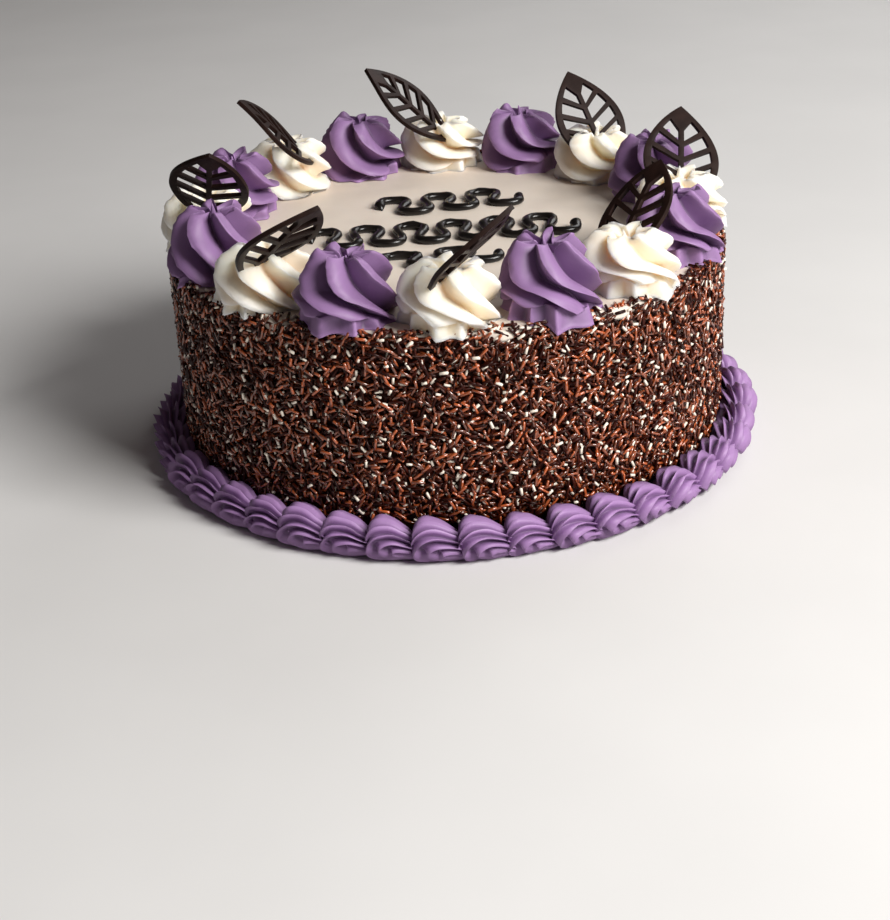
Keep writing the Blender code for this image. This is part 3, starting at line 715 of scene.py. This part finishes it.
def cream_disc():
    """Cream spread over the top: nearly flat, with a soft uneven edge."""
    angle = np.arange(TOP_COLUMNS) * FULL_TURN / TOP_COLUMNS
    circle = polar(1.0, angle, 0.0)
    edge = TOP_RADIUS + ripple(circle, 0.55, seed=21) * 0.7 * MM
    edge += ripple(circle, 0.12, seed=22) * 0.4 * MM
    pushed = np.zeros(TOP_COLUMNS)
    for middle, half_width, reach in CREAM_SMEARS:
        away = (angle - math.radians(middle) + math.pi) % FULL_TURN - math.pi
        pushed += reach * MM * np.exp(-((away / math.radians(half_width)) ** 2))
    edge += pushed
    share = np.linspace(TOP_INNER_SHARE, 1.0, TOP_RINGS)
    top = polar(share[:, None] * (edge - EDGE_ROUND)[None, :], angle[None, :], 0.0)
    # Wide and narrow waves that the comb leaves
    wave = ripple(top, 46 * MM, seed=23) * 0.22 * MM + ripple(top, 13 * MM, seed=24) * 0.08 * MM
    top[..., 2] = TOP_LEVEL + wave
    lip = []
    for bend in np.linspace(0.0, math.pi / 2, EDGE_STEPS + 1)[1:]:
        out = edge - EDGE_ROUND + EDGE_ROUND * math.sin(bend)
        height = top[-1, :, 2] - (EDGE_ROUND + EDGE_DROOP * pushed) * (1 - math.cos(bend))
        lip.append(polar(out, angle, height))
    under = polar(edge - 0.5 * MM, angle, CREAM_LOW.z)
    rings = np.concatenate([top, np.array(lip), under[None]])
    centre = (0, 0, top[0, :, 2].mean())
    vertices, quads, triangles = closed_tube(rings, centre, (0, 0, CREAM_LOW.z))
    return vertices, quads[:, ::-1], triangles[:, ::-1]


# ---- the swirls


def swirl_angle(index):
    """The angle round the cake of one swirl; the first stands at the left front."""
    return FIRST_SWIRL_ANGLE + FULL_TURN * index / SWIRL_COUNT


def swirl_mesh(index, ridges, is_white):
    """One swirl piped with a star nozzle: ridges that wind down and lie over a pleated foot."""
    # These draws are the frame's own, so that the ridges lie where its ridges lie
    usual = random.Random(SWIRL_SEED + index)
    radius = SWIRL_RADIUS * usual.uniform(SWIRL_SMALLEST, 1.0)
    height = WHITE_SWIRL_HEIGHT if is_white else PURPLE_SWIRL_HEIGHT
    height *= 1.0 + SWIRL_HEIGHT_SPREAD * usual.uniform(-1.0, 1.0)
    outward = swirl_angle(index)
    start = usual.uniform(0.0, FULL_TURN) + outward
    turn = SWIRL_TURN * (1.0 + SWIRL_TURN_SPREAD * usual.uniform(-1.0, 1.0))
    sway_along = usual.uniform(-1.0, 1.0) * SWIRL_SWAY
    sway_across = usual.uniform(-1.0, 1.0) * SWIRL_SWAY
    draw = np.random.default_rng(500 + index)
    table = np.array(SWIRL_OUTLINE)
    if is_white:
        # White swirls are flatter on top, with shallower valleys
        table[8:15, 1] *= WHITE_CROWN_WIDTH
        table[11:, 0] *= WHITE_CROWN_HEIGHT
        table[4:, 2] *= WHITE_VALLEYS
    up, out, depth, wound, coiled = spline(table, SWIRL_ROWS).T
    is_coil = np.clip(coiled, 0, 1)[:, None]
    # Across the columns: ridges on the coil, pleats on the foot
    per_ridge = len(RIDGE_COLUMNS)
    columns = ridges * per_ridge
    within = np.tile(np.array(RIDGE_COLUMNS), ridges)
    ridge = np.repeat(np.arange(ridges), per_ridge)
    section = np.interp(within, *np.array(RIDGE_SECTION).T)
    around = FULL_TURN * (ridge + within) / ridges
    circle = polar(1.0, around, 0.0)
    uneven = PLEAT_UNEVEN * np.sin(2 * around + draw.uniform(0, FULL_TURN))
    uneven += PLEAT_UNEVEN * np.sin(3 * around + draw.uniform(0, FULL_TURN))
    place = (PLEATS * around + uneven) / FULL_TURN
    pleat = 1 - np.abs(2 * (place % 1.0) - 1) ** PLEAT_ROUND
    flare = ripple(circle, 0.9, seed=400 + index) * FOOT_FLARE
    # Each ridge is a little fuller or thinner than its neighbours
    fuller = 1 + RIDGE_UNEVEN * ripple(circle, 1.5, seed=600 + index)
    drop = is_coil * section[None, :] + (1 - is_coil) * pleat[None, :]
    crest = 1 - drop
    # A ridge's lip hangs over the hollow under it
    lean = LIP_OVERHANG * FULL_TURN / ridges * is_coil * crest**3
    angle = (start + around)[None, :] - turn * wound[:, None] - lean
    reach = radius * out[:, None] * (1 - depth[:, None] * drop * fuller[None, :])
    level = height * up[:, None] * np.ones(columns)[None, :]
    # The crests end at the top in torn points of their own heights
    torn = draw.uniform(-0.5, 1.0, ridges)[ridge]
    crown = np.exp(-(((out - CROWN_OUT) / CROWN_WIDTH) ** 2))[:, None] * (up > 0.7)[:, None]
    points_up = CROWN_TORN_WHITE if is_white else CROWN_TORN_PURPLE
    level += crown * (crest**2 * torn[None, :]) * points_up
    # The coil's lower edge hangs lower under each ridge
    edge = np.exp(-(((up - SEAM_SHARE) / SEAM_WIDTH) ** 2))[:, None] * is_coil
    scallop = crest - 0.5 + 0.5 * draw.uniform(-1, 1, ridges)[ridge][None, :]
    level -= edge * scallop * SEAM_SCALLOP
    # That edge climbs towards its left, where more of the pleats shows
    left = outward - SEAM_LEFT + draw.normal(0, SEAM_LEFT_SPREAD)
    low = np.clip((up - 0.02) / SEAM_SHARE, 0, 1) * np.clip((0.5 - up) / 0.3, 0, 1)
    level += low[:, None] * np.cos(angle - left) * SEAM_TILT
    reach += flare[None, :] * np.clip(1 - up / SEAM_SHARE, 0, 1)[:, None]
    places = polar(reach, angle, level)
    lumps = ripple(places, LUMP_WIDTH, seed=700 + index) * LUMP_DEPTH
    nicks = ripple(places, NICK_WIDTH, seed=900 + index) * NICK_DEPTH * crest**5
    reach = reach + (lumps + nicks) * np.clip(out[:, None] * 4, 0, 1)
    points = polar(reach, angle, level)
    # The tip stands off the middle and the foot leans out over the rim
    along = sway_along * up**2 + SWIRL_LEAN * (1 - up)
    across = sway_across * up**2
    points[..., 0] += (along * math.cos(outward) - across * math.sin(outward))[:, None]
    points[..., 1] += (along * math.sin(outward) + across * math.cos(outward))[:, None]
    # The whole swirl sags a little to one side
    sag_to = draw.uniform(0, FULL_TURN)
    sag = np.cos(angle - sag_to) * reach / radius * (up * (1 - up))[:, None]
    # The spike in the middle is broken off shorter on some swirls
    spike = np.clip((0.2 - out) / 0.15, 0, 1) * (up > 0.7)
    points[..., 2] -= SPIKE_LOSS * draw.uniform(0, 1) * spike[:, None]
    points[..., 2] += sag * SWIRL_SAG
    settle(points, up, outward)
    return closed_tube(points, (0, 0, 0), points[-1].mean(axis=0))


def settle(points, up, outward):
    """Press a swirl's foot on to the cream, and let it hang where it reaches past the rim."""
    height = points[..., 2]
    near = PRESSED * np.exp(np.minimum(height, PRESSED) / PRESSED - 1)
    height[:] = np.where(height > PRESSED, height, near)
    height -= height[0].min() * np.clip(1 - up / 0.03, 0, 1)[:, None]
    foot = SWIRL_RING_RADIUS * np.array([math.cos(outward), math.sin(outward)])
    past_rim = np.linalg.norm(points[..., :2] + foot, axis=-1) - RIM_RADIUS
    height -= SWIRL_DROOP * np.maximum(past_rim, 0.0) * np.clip(1 - 1.5 * up, 0, 1)[:, None]


# ---- the leaves


class LeafPlace:
    """Where one leaf stands on its swirl, and how it leans."""

    def __init__(self, swirl, outward, along, up, heading, lean, spin):
        self.swirl = swirl
        self.offset = (outward * MM, along * MM, up * MM)
        self.heading = math.radians(heading)
        self.lean = math.radians(lean)
        self.spin = math.radians(spin)


LEAVES = (
    LeafPlace(swirl=1, outward=10, along=-1, up=11, heading=-8, lean=39, spin=10),
    LeafPlace(swirl=3, outward=6, along=-7, up=12, heading=33, lean=45, spin=-4),
    LeafPlace(swirl=5, outward=-4, along=-7, up=5, heading=-8, lean=38, spin=15),
    LeafPlace(swirl=7, outward=0, along=-9, up=5, heading=6, lean=41, spin=-15),
    LeafPlace(swirl=9, outward=-2, along=-12, up=3, heading=13, lean=48, spin=6),
    LeafPlace(swirl=11, outward=-7, along=-5, up=11, heading=0, lean=42, spin=16),
    LeafPlace(swirl=13, outward=-10, along=-5, up=11, heading=5, lean=43, spin=24),
    LeafPlace(swirl=15, outward=0, along=6, up=11, heading=-12, lean=45, spin=17),
)


def leaf_half_width(share):
    """Half the leaf's width at a share of its length: a pointed oval."""
    return 0.5 * LEAF_WIDTH * (1.0 - (2.0 * share - 1.0) ** 2)


def leaf_wave(along, across):
    """The leaf's gentle wave out of its own plane."""
    return LEAF_WAVE * math.sin(FULL_TURN * along / LEAF_LENGTH + LEAF_TWIST * across)


def leaf_stations():
    """Places along the midrib and whether an opening follows each."""
    pitch = (LEAF_LENGTH - LEAF_TIP_SOLID - LEAF_FOOT_SOLID) / LEAF_WINDOWS
    edges = [LEAF_FOOT_POINT]
    for index in range(LEAF_WINDOWS):
        edges.append(LEAF_FOOT_SOLID + index * pitch)
        edges.append(LEAF_FOOT_SOLID + (index + 1) * pitch - LEAF_VEIN)
    edges.append(LEAF_LENGTH - LEAF_TIP_POINT)
    places = []
    for number in range(len(edges) - 1):
        for step in range(LEAF_STEPS):
            share = step / LEAF_STEPS
            place = edges[number] * (1 - share) + edges[number + 1] * share
            places.append((place, number % 2 == 1))
    places.append((edges[-1], False))
    return places


def leaf_columns(side, stations):
    """Points of one half at each station: midrib edge, border's inner edge, outer edge."""
    columns = []
    for place, _ in stations:
        share = place / LEAF_LENGTH
        far = place + LEAF_SLANT * (1.0 - abs(2.0 * share - 1.0) ** 3)
        outer = leaf_half_width(far / LEAF_LENGTH)
        middle = 0.5 * LEAF_MIDRIB
        inner = max(outer - LEAF_BORDER, middle + LEAF_LEAST_GAP)
        columns.append(((place, side * middle), (far, side * inner), (far, side * outer)))
    return columns


def leaf_faces():
    """The leaf's flat faces, each a list of points in its own plane."""
    stations = leaf_stations()
    foot = (0.0, 0.0)
    tip = (LEAF_LENGTH, 0.0)
    right = leaf_columns(-1, stations)
    left = leaf_columns(1, stations)
    faces = []
    for index in range(len(stations) - 1):
        faces.append((right[index][0], right[index + 1][0], left[index + 1][0], left[index][0]))
    for columns in (left, right):
        for index in range(len(stations) - 1):
            here, there = columns[index], columns[index + 1]
            faces.append((here[1], there[1], there[2], here[2]))
            if not stations[index][1]:
                faces.append((here[0], there[0], there[1], here[1]))
        for end, column in ((foot, columns[0]), (tip, columns[-1])):
            faces.append((end, column[0], column[1]))
            faces.append((end, column[1], column[2]))
    faces.append((foot, left[0][0], right[0][0]))
    faces.append((tip, left[-1][0], right[-1][0]))
    return faces


def leaf_mesh(name):
    """A thin wavy leaf with open windows and rounded edges."""
    builder = bmesh.new()
    known = {}
    for face in leaf_faces():
        area = 0.0
        for index, point in enumerate(face):
            after = face[(index + 1) % len(face)]
            area += point[0] * after[1] - after[0] * point[1]
        ordered = face if area > 0 else face[::-1]
        corners = []
        for point in ordered:
            key = (round(point[0], 7), round(point[1], 7))
            if key not in known:
                known[key] = builder.verts.new((*point, leaf_wave(*point)))
            corners.append(known[key])
        builder.faces.new(corners)
    bmesh.ops.recalc_face_normals(builder, faces=builder.faces)
    mesh = bpy.data.meshes.new(name)
    builder.to_mesh(mesh)
    builder.free()
    return mesh


def leaf_matrix(place):
    """Stand a leaf on its swirl as the frame's leaf stands."""
    angle = swirl_angle(place.swirl)
    outward = Vector((math.cos(angle), math.sin(angle), 0.0))
    along = Vector((-math.sin(angle), math.cos(angle), 0.0))
    up = Vector((0.0, 0.0, 1.0))
    forward = along * math.cos(place.heading) + outward * math.sin(place.heading)
    level = outward * math.cos(place.heading) - along * math.sin(place.heading)
    axis = forward * math.cos(place.lean) + up * math.sin(place.lean)
    normal = up * math.cos(place.lean) - forward * math.sin(place.lean)
    side = level * math.cos(place.spin) + normal * math.sin(place.spin)
    third = axis.cross(side)
    turn = Matrix((axis, side, third)).transposed().to_4x4()
    foot = outward * SWIRL_RING_RADIUS + up * (TOP_HEIGHT + LEAF_FOOT_UP)
    foot += outward * place.offset[0] + along * place.offset[1] + up * place.offset[2]
    return Matrix.Translation(foot) @ turn


# ---- the border

def shell_points(index, size, draw):
    """One shell: a bud with sharp ridges nested round an eye, drawn out to a tail.

    The mesh's rows follow the ridges, each from the tail under the eye, round the head
    and back over the eye to the tail.
    """
    form = spline(SHELL_FORM, SHELL_FORM_STEPS) * MM
    head, tail = form[0, 0], form[-1, 0]
    row = np.arange(SHELL_RIDGES)[:, None] + np.array(RIDGE_POINTS)[None, :]
    row = np.append(row.ravel(), SHELL_RIDGES)
    eye = SHELL_EYE_ALONG + draw.uniform(-SHELL_EYE_SPREAD, SHELL_EYE_SPREAD)
    spacing = SHELL_RIDGE_ALONG * draw.uniform(*SHELL_SPACINGS)
    above = SHELL_RIDGE_ABOVE * row
    below = np.interp(row, (0, 3, SHELL_RIDGES),
                      (0, 3 * SHELL_RIDGE_BELOW, FULL_TURN - SHELL_RIDGES * SHELL_RIDGE_ABOVE))
    # Ridges far from the eye run out over the head instead of closing round the eye
    first = np.arccos(np.clip((eye - head) / (spacing * np.maximum(row, 0.01)), 0, 1))
    share = np.linspace(0, 1, SHELL_CURVE_STEPS)[None, :] ** 1.3
    bend = first[:, None] + (math.pi / 2 - first)[:, None] * share
    straight = np.linspace(0, 1, SHELL_TAIL_STEPS + 1)[1:] * np.ones((len(row), 1))
    along = np.hstack([eye - spacing * row[:, None] * np.cos(bend), eye + (tail - eye) * straight])
    spread = np.hstack([np.sin(bend), np.ones(straight.shape)])
    turn = np.hstack([-below[:, None] * spread[:, :0:-1], above[:, None] * spread])
    along = np.hstack([along[:, :0:-1], along])
    radius = np.interp(along, form[:, 0], form[:, 1]) * size
    depth = np.interp(along, form[:, 0], form[:, 2])
    # Sharp crests with wide round grooves between them
    groove = 1 - np.abs(2 * ((row - 0.5) % 1.0) - 1) ** SHELL_GROOVE_ROUND
    reach = radius - depth * groove[:, None]
    facing = turn + SHELL_EYE_LOW + draw.normal(0, SHELL_TURN_SPREAD)
    height = SHELL_CENTRE_UP * radius + reach * np.sin(facing)
    forward = SHELL_CENTRE_OUT * size + reach * SHELL_STRETCH * np.cos(facing)
    along = along * draw.uniform(*SHELL_LENGTHS)
    places = np.stack([along, height, forward], -1)
    forward = forward + ripple(places, SHELL_LUMP_WIDTH, seed=1500 + index) * SHELL_LUMP_DEPTH
    height = height + ripple(places, SHELL_LUMP_WIDTH, seed=1600 + index) * SHELL_LUMP_DEPTH
    # What would sink into the ground is pressed out over it
    sunk = np.maximum(SHELL_LOWEST - height, 0.0)
    height = np.maximum(height, SHELL_LOWEST - 0.05 * sunk)
    return along, height, np.maximum(forward, SHELL_NEAREST)


def border_mesh():
    """All the shells of the border, side by side round the foot of the cake."""
    draw = np.random.default_rng(BORDER_SEED)
    all_vertices = []
    all_quads = []
    for index in range(BORDER_SHELLS):
        size = draw.uniform(SHELL_SMALLEST, SHELL_LARGEST)
        along, height, forward = shell_points(index, size, draw)
        middle = FULL_TURN * (index + 0.5) / BORDER_SHELLS
        angle = middle + along / (BORDER_FOOT_RADIUS + SHELL_CENTRE_OUT)
        points = polar(BORDER_FOOT_RADIUS + forward, angle, height)
        all_vertices.append(points.reshape(-1, 3))
        all_quads.append(grid_faces(*along.shape, closed=False) + index * along.size)
    return np.vstack(all_vertices), np.vstack(all_quads), np.empty((0, 3))


# ---- the piping


class PipingRow:
    """One row of dark piping on the top: a running wave that climbs to the right."""

    def __init__(self, name, x, y, half_length, height, waves, rise):
        self.name = name
        self.x = x * MM
        self.y = y * MM
        self.half_length = half_length * MM
        self.height = height * MM
        self.waves = waves
        self.rise = rise * MM


PIPING_ROWS = (
    PipingRow("piping_back", x=2, y=32, half_length=27, height=17, waves=3, rise=9),
    PipingRow("piping_middle", x=-1, y=-4, half_length=50, height=19, waves=6, rise=9),
    PipingRow("piping_front", x=-2, y=-33, half_length=20, height=13, waves=2, rise=6),
)


def wave_points(row):
    """Points of a running wave whose crests bulge wider than their necks."""
    steps = row.waves * PIPING_STEPS_PER_WAVE
    bulge = PIPING_BULGE * row.half_length / row.waves
    phase = FULL_TURN * np.arange(steps + 1) / PIPING_STEPS_PER_WAVE
    share = np.arange(steps + 1) / steps
    x = row.x + row.half_length * (2 * share - 1) - bulge * np.sin(2 * phase)
    y = row.y + 0.5 * row.height * np.sin(phase) + row.rise * (share - 0.5)
    return np.stack([x, y], -1)


def piping_mesh(row, width, height, seed):
    """A round line of piping that lies on the cream, with a blob at each end."""
    path = wave_points(row)
    tangent = np.gradient(path, axis=0)
    tangent /= np.linalg.norm(tangent, axis=1)[:, None]
    across = np.stack([tangent[:, 1], -tangent[:, 0]], -1)
    length = np.concatenate([[0], np.cumsum(np.linalg.norm(np.diff(path, axis=0), axis=1))])
    thick = 1 + PIPING_UNEVEN * ripple(length[:, None], PIPING_LUMP_WIDTH, seed=seed)
    from_end = np.minimum(length, length[-1] - length)
    off_blob = (from_end - PIPING_BLOB_FROM_END) / PIPING_BLOB_LENGTH
    thick *= 1 + PIPING_BLOB * np.exp(-off_blob**2)
    closing = np.clip(from_end / (0.5 * width), 0, 1)
    thick *= np.sqrt(np.clip(1 - (1 - closing) ** 2, 0.02, 1))
    angle = np.arange(PIPING_SIDES) * FULL_TURN / PIPING_SIDES
    side = np.cos(angle)[None, :] * 0.5 * width * thick[:, None]
    level = (0.5 + 0.5 * np.sin(angle))[None, :] * height * thick[:, None]
    points = np.zeros((len(path), PIPING_SIDES, 3))
    points[..., :2] = path[:, None, :] + across[:, None, :] * side[..., None]
    points[..., 2] = TOP_HEIGHT - SUNK + level
    return closed_tube(points, points[0].mean(axis=0), points[-1].mean(axis=0))


# ---- operators


class CAKE_OT_side(Operator):
    """Build the cake's side with its coat of chocolate strands"""

    bl_idname = "cake.side"
    bl_label = "Side and strands"

    def execute(self, context):
        sizes = context.scene.cake_sizes
        colours = context.scene.cake_colours
        dark = strand_chocolate("dark_chocolate_strands", colours.dark, 0.45, 0.42, 0.14)
        milk = strand_chocolate("milk_chocolate_strands", colours.milk, 0.62, 0.25, 0.85)
        pale = strand_chocolate("white_chocolate_strands", colours.pale, 0.10, 0.42, 0.5)
        # The core takes the dark chocolate's colour, as painted shade in the gaps between the strands
        core = new_piece("cake_core", *cake_core(), set_chocolate("core_gap_shade", colours.dark))
        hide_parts("cake")
        strand_piece("strands_milk", sizes.milk_strands, 31, milk, sizes)
        strand_piece("strands_dark", sizes.dark_strands, 32, dark, sizes)
        strand_piece("strands_white", sizes.white_strands, 33, pale, sizes, shortness=0.62, depth=1.9)
        return {"FINISHED"}


class CAKE_OT_cream_top(Operator):
    """Spread the cream over the top"""

    bl_idname = "cake.cream_top"
    bl_label = "Cream top"

    def execute(self, context):
        colours = context.scene.cake_colours
        material = spread_cream("combed_butter_cream", colours.top)
        piece = new_piece("cream_spread", *cream_disc(), material)
        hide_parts("cream_top")
        return {"FINISHED"}


class CAKE_OT_swirls(Operator):
    """Pipe the ring of purple and white swirls"""

    bl_idname = "cake.swirls"
    bl_label = "Swirls"

    def execute(self, context):
        sizes = context.scene.cake_sizes
        colours = context.scene.cake_colours
        purple = purple_butter_cream("purple_butter_cream", colours.purple)
        white = butter_cream("white_butter_cream", colours.white, colours.white_fold_shade, 1.0)
        for index in range(SWIRL_COUNT):
            is_white = index % 2 == 1
            node = f"swirl_{index + 1:02d}_{'white' if is_white else 'purple'}"
            vertices, quads, triangles = swirl_mesh(index, sizes.ridges, is_white)
            foot = polar(SWIRL_RING_RADIUS, swirl_angle(index), TOP_HEIGHT - SUNK)
            piece = new_piece(f"piped_{node}", vertices + foot, quads, triangles,
                              white if is_white else purple)
            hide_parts(node)
        return {"FINISHED"}


class CAKE_OT_leaves(Operator):
    """Stand a pierced chocolate leaf in each white swirl"""

    bl_idname = "cake.leaves"
    bl_label = "Leaves"

    def execute(self, context):
        colours = context.scene.cake_colours
        material = set_chocolate("set_dark_chocolate", colours.leaf)
        for number, place in enumerate(LEAVES, start=1):
            name = f"chocolate_leaf_{number}"
            piece = bpy.data.objects.new(name, leaf_mesh(name))
            context.scene.collection.objects.link(piece)
            thick = piece.modifiers.new("thickness", "SOLIDIFY")
            thick.thickness = LEAF_THICKNESS
            thick.offset = 0.0
            rounded = piece.modifiers.new("rounded_edges", "BEVEL")
            rounded.width = LEAF_EDGE_ROUND
            rounded.segments = 3
            rounded.limit_method = "ANGLE"
            rounded.angle_limit = LEAF_SHARP_EDGE
            apply_modifiers(piece)
            piece.data.transform(leaf_matrix(place))
            piece.data.materials.clear()
            piece.data.materials.append(material)
            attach(piece, "root")
            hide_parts(f"leaf_{number}")
        return {"FINISHED"}


def apply_modifiers(piece):
    """Turn a piece's modifiers into mesh and shade it smoothly across its flat parts."""
    bpy.context.view_layer.update()
    graph = bpy.context.evaluated_depsgraph_get()
    mesh = bpy.data.meshes.new_from_object(piece.evaluated_get(graph))
    piece.modifiers.clear()
    piece.data = mesh
    mesh.polygons.foreach_set("use_smooth", np.ones(len(mesh.polygons), bool))
    mesh.set_sharp_from_angle(angle=LEAF_SMOOTH_EDGE)


class CAKE_OT_border(Operator):
    """Pipe the border of shells round the foot"""

    bl_idname = "cake.border"
    bl_label = "Shell border"

    def execute(self, context):
        colours = context.scene.cake_colours
        material = purple_butter_cream("purple_border_cream", colours.purple)
        piece = new_piece("piped_border", *border_mesh(), material)
        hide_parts("shell_border")
        return {"FINISHED"}


class CAKE_OT_piping(Operator):
    """Pipe the dark waves on the top"""

    bl_idname = "cake.piping"
    bl_label = "Dark piping"

    def execute(self, context):
        sizes = context.scene.cake_sizes
        colours = context.scene.cake_colours
        material = piping_gel("glossy_piping", colours.gel)
        for number, row in enumerate(PIPING_ROWS):
            mesh = piping_mesh(row, sizes.piping_width, sizes.piping_height, 60 + number)
            piece = new_piece(f"{row.name}_gloss", *mesh, material)
            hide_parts(row.name)
        return {"FINISHED"}


class CAKE_OT_stage(Operator):
    """Lay the pale floor and set the soft lights and the camera"""

    bl_idname = "cake.stage"
    bl_label = "Stage"

    def execute(self, context):
        colours = context.scene.cake_colours
        line = np.linspace(-FLOOR_HALF, FLOOR_HALF, FLOOR_POINTS)
        x, y = np.meshgrid(line, line)
        vertices = np.stack([x, y, np.full_like(x, -SUNK)], -1).reshape(-1, 3)
        quads = grid_faces(FLOOR_POINTS, FLOOR_POINTS, closed=False)
        mesh = bpy.data.meshes.new("studio_floor")
        mesh.from_pydata(vertices.tolist(), [], quads.tolist())
        mesh.materials.append(studio_paper("studio_paper", colours.floor))
        floor = bpy.data.objects.new("studio_floor", mesh)
        context.scene.collection.objects.link(floor)
        set_lights(context)
        set_camera(context)
        return {"FINISHED"}


def add_area_light(name, place, size, power, colour):
    """A square soft box that points at the middle of the cake."""
    data = bpy.data.lights.new(name, "AREA")
    data.shape = "SQUARE"
    data.size = size
    data.energy = power
    data.color = colour
    light = bpy.data.objects.new(name, data)
    bpy.context.scene.collection.objects.link(light)
    light.location = place
    aim = Vector(LIGHTS_AIM) - Vector(place)
    light.rotation_euler = aim.to_track_quat("-Z", "Y").to_euler()


def set_lights(context):
    """One large key light from the upper right, a weak back and fill light and a pale sky."""
    add_area_light("key_light", (0.88, -0.68, 0.88), 0.65, 30.0, (1.0, 0.985, 0.96))
    add_area_light("back_light", (0.6, 0.9, 0.8), 0.7, 4.0, (1.0, 1.0, 1.0))
    add_area_light("fill_light", (-1.1, -0.9, 0.7), 1.2, 0.4, (0.95, 0.97, 1.0))
    world = bpy.data.worlds.new("studio_sky")
    world.use_nodes = True
    sky = world.node_tree.nodes["Background"]
    sky.inputs["Color"].default_value = (*SKY_COLOUR, 1.0)
    sky.inputs["Strength"].default_value = SKY_STRENGTH
    context.scene.world = world
    context.scene.view_settings.view_transform = "Standard"


def set_camera(context):
    """The camera as it stood for the picture: level turn, downward pitch and a slight roll."""
    data = bpy.data.cameras.new("camera")
    data.sensor_width = SENSOR
    data.lens = FOCAL_PIXELS / max(PICTURE_WIDTH, PICTURE_HEIGHT) * SENSOR
    data.clip_start = 0.01
    data.clip_end = 50.0
    camera = bpy.data.objects.new("camera", data)
    context.scene.collection.objects.link(camera)
    forward = Vector((math.sin(CAMERA_YAW) * math.cos(CAMERA_PITCH),
                      math.cos(CAMERA_YAW) * math.cos(CAMERA_PITCH),
                      -math.sin(CAMERA_PITCH)))
    right = Vector((math.cos(CAMERA_YAW), -math.sin(CAMERA_YAW), 0.0))
    up = right.cross(forward)
    x_axis = right * math.cos(CAMERA_ROLL) + up * math.sin(CAMERA_ROLL)
    y_axis = up * math.cos(CAMERA_ROLL) - right * math.sin(CAMERA_ROLL)
    turn = Matrix((x_axis, y_axis, -forward)).transposed().to_4x4()
    camera.matrix_world = Matrix.Translation(CAMERA_PLACE) @ turn
    context.scene.camera = camera


OPERATORS = (
    CAKE_OT_stage,
    CAKE_OT_side,
    CAKE_OT_cream_top,
    CAKE_OT_border,
    CAKE_OT_swirls,
    CAKE_OT_leaves,
    CAKE_OT_piping,
)


class CAKE_PT_panel(Panel):
    """Lists the pieces of the cake in the sidebar"""

    bl_idname = "CAKE_PT_panel"
    bl_label = "Celebration cake"
    bl_space_type = "VIEW_3D"
    bl_region_type = "UI"
    bl_category = "Cake"

    def draw(self, context):
        layout = self.layout
        for operator in OPERATORS:
            layout.operator(operator.bl_idname)
        for group in (context.scene.cake_sizes, context.scene.cake_colours):
            box = layout.box()
            for name in group.bl_rna.properties.keys():
                if name not in ("rna_type", "name"):
                    box.prop(group, name)


CLASSES = (CakeSizes, CakeColours) + OPERATORS + (CAKE_PT_panel,)


def register():
    """Make the classes and the scene's properties known."""
    for item in CLASSES:
        bpy.utils.register_class(item)
    bpy.types.Scene.cake_sizes = PointerProperty(type=CakeSizes)
    bpy.types.Scene.cake_colours = PointerProperty(type=CakeColours)


def unregister():
    """Take the classes and the scene's properties away again."""
    del bpy.types.Scene.cake_colours
    del bpy.types.Scene.cake_sizes
    for item in reversed(CLASSES):
        bpy.utils.unregister_class(item)


def main():
    """Register the classes, and build every piece in order."""
    register()
    bpy.ops.cake.stage()
    bpy.ops.cake.side()
    bpy.ops.cake.cream_top()
    bpy.ops.cake.border()
    bpy.ops.cake.swirls()
    bpy.ops.cake.leaves()
    bpy.ops.cake.piping()


if __name__ == "__main__":
    main()
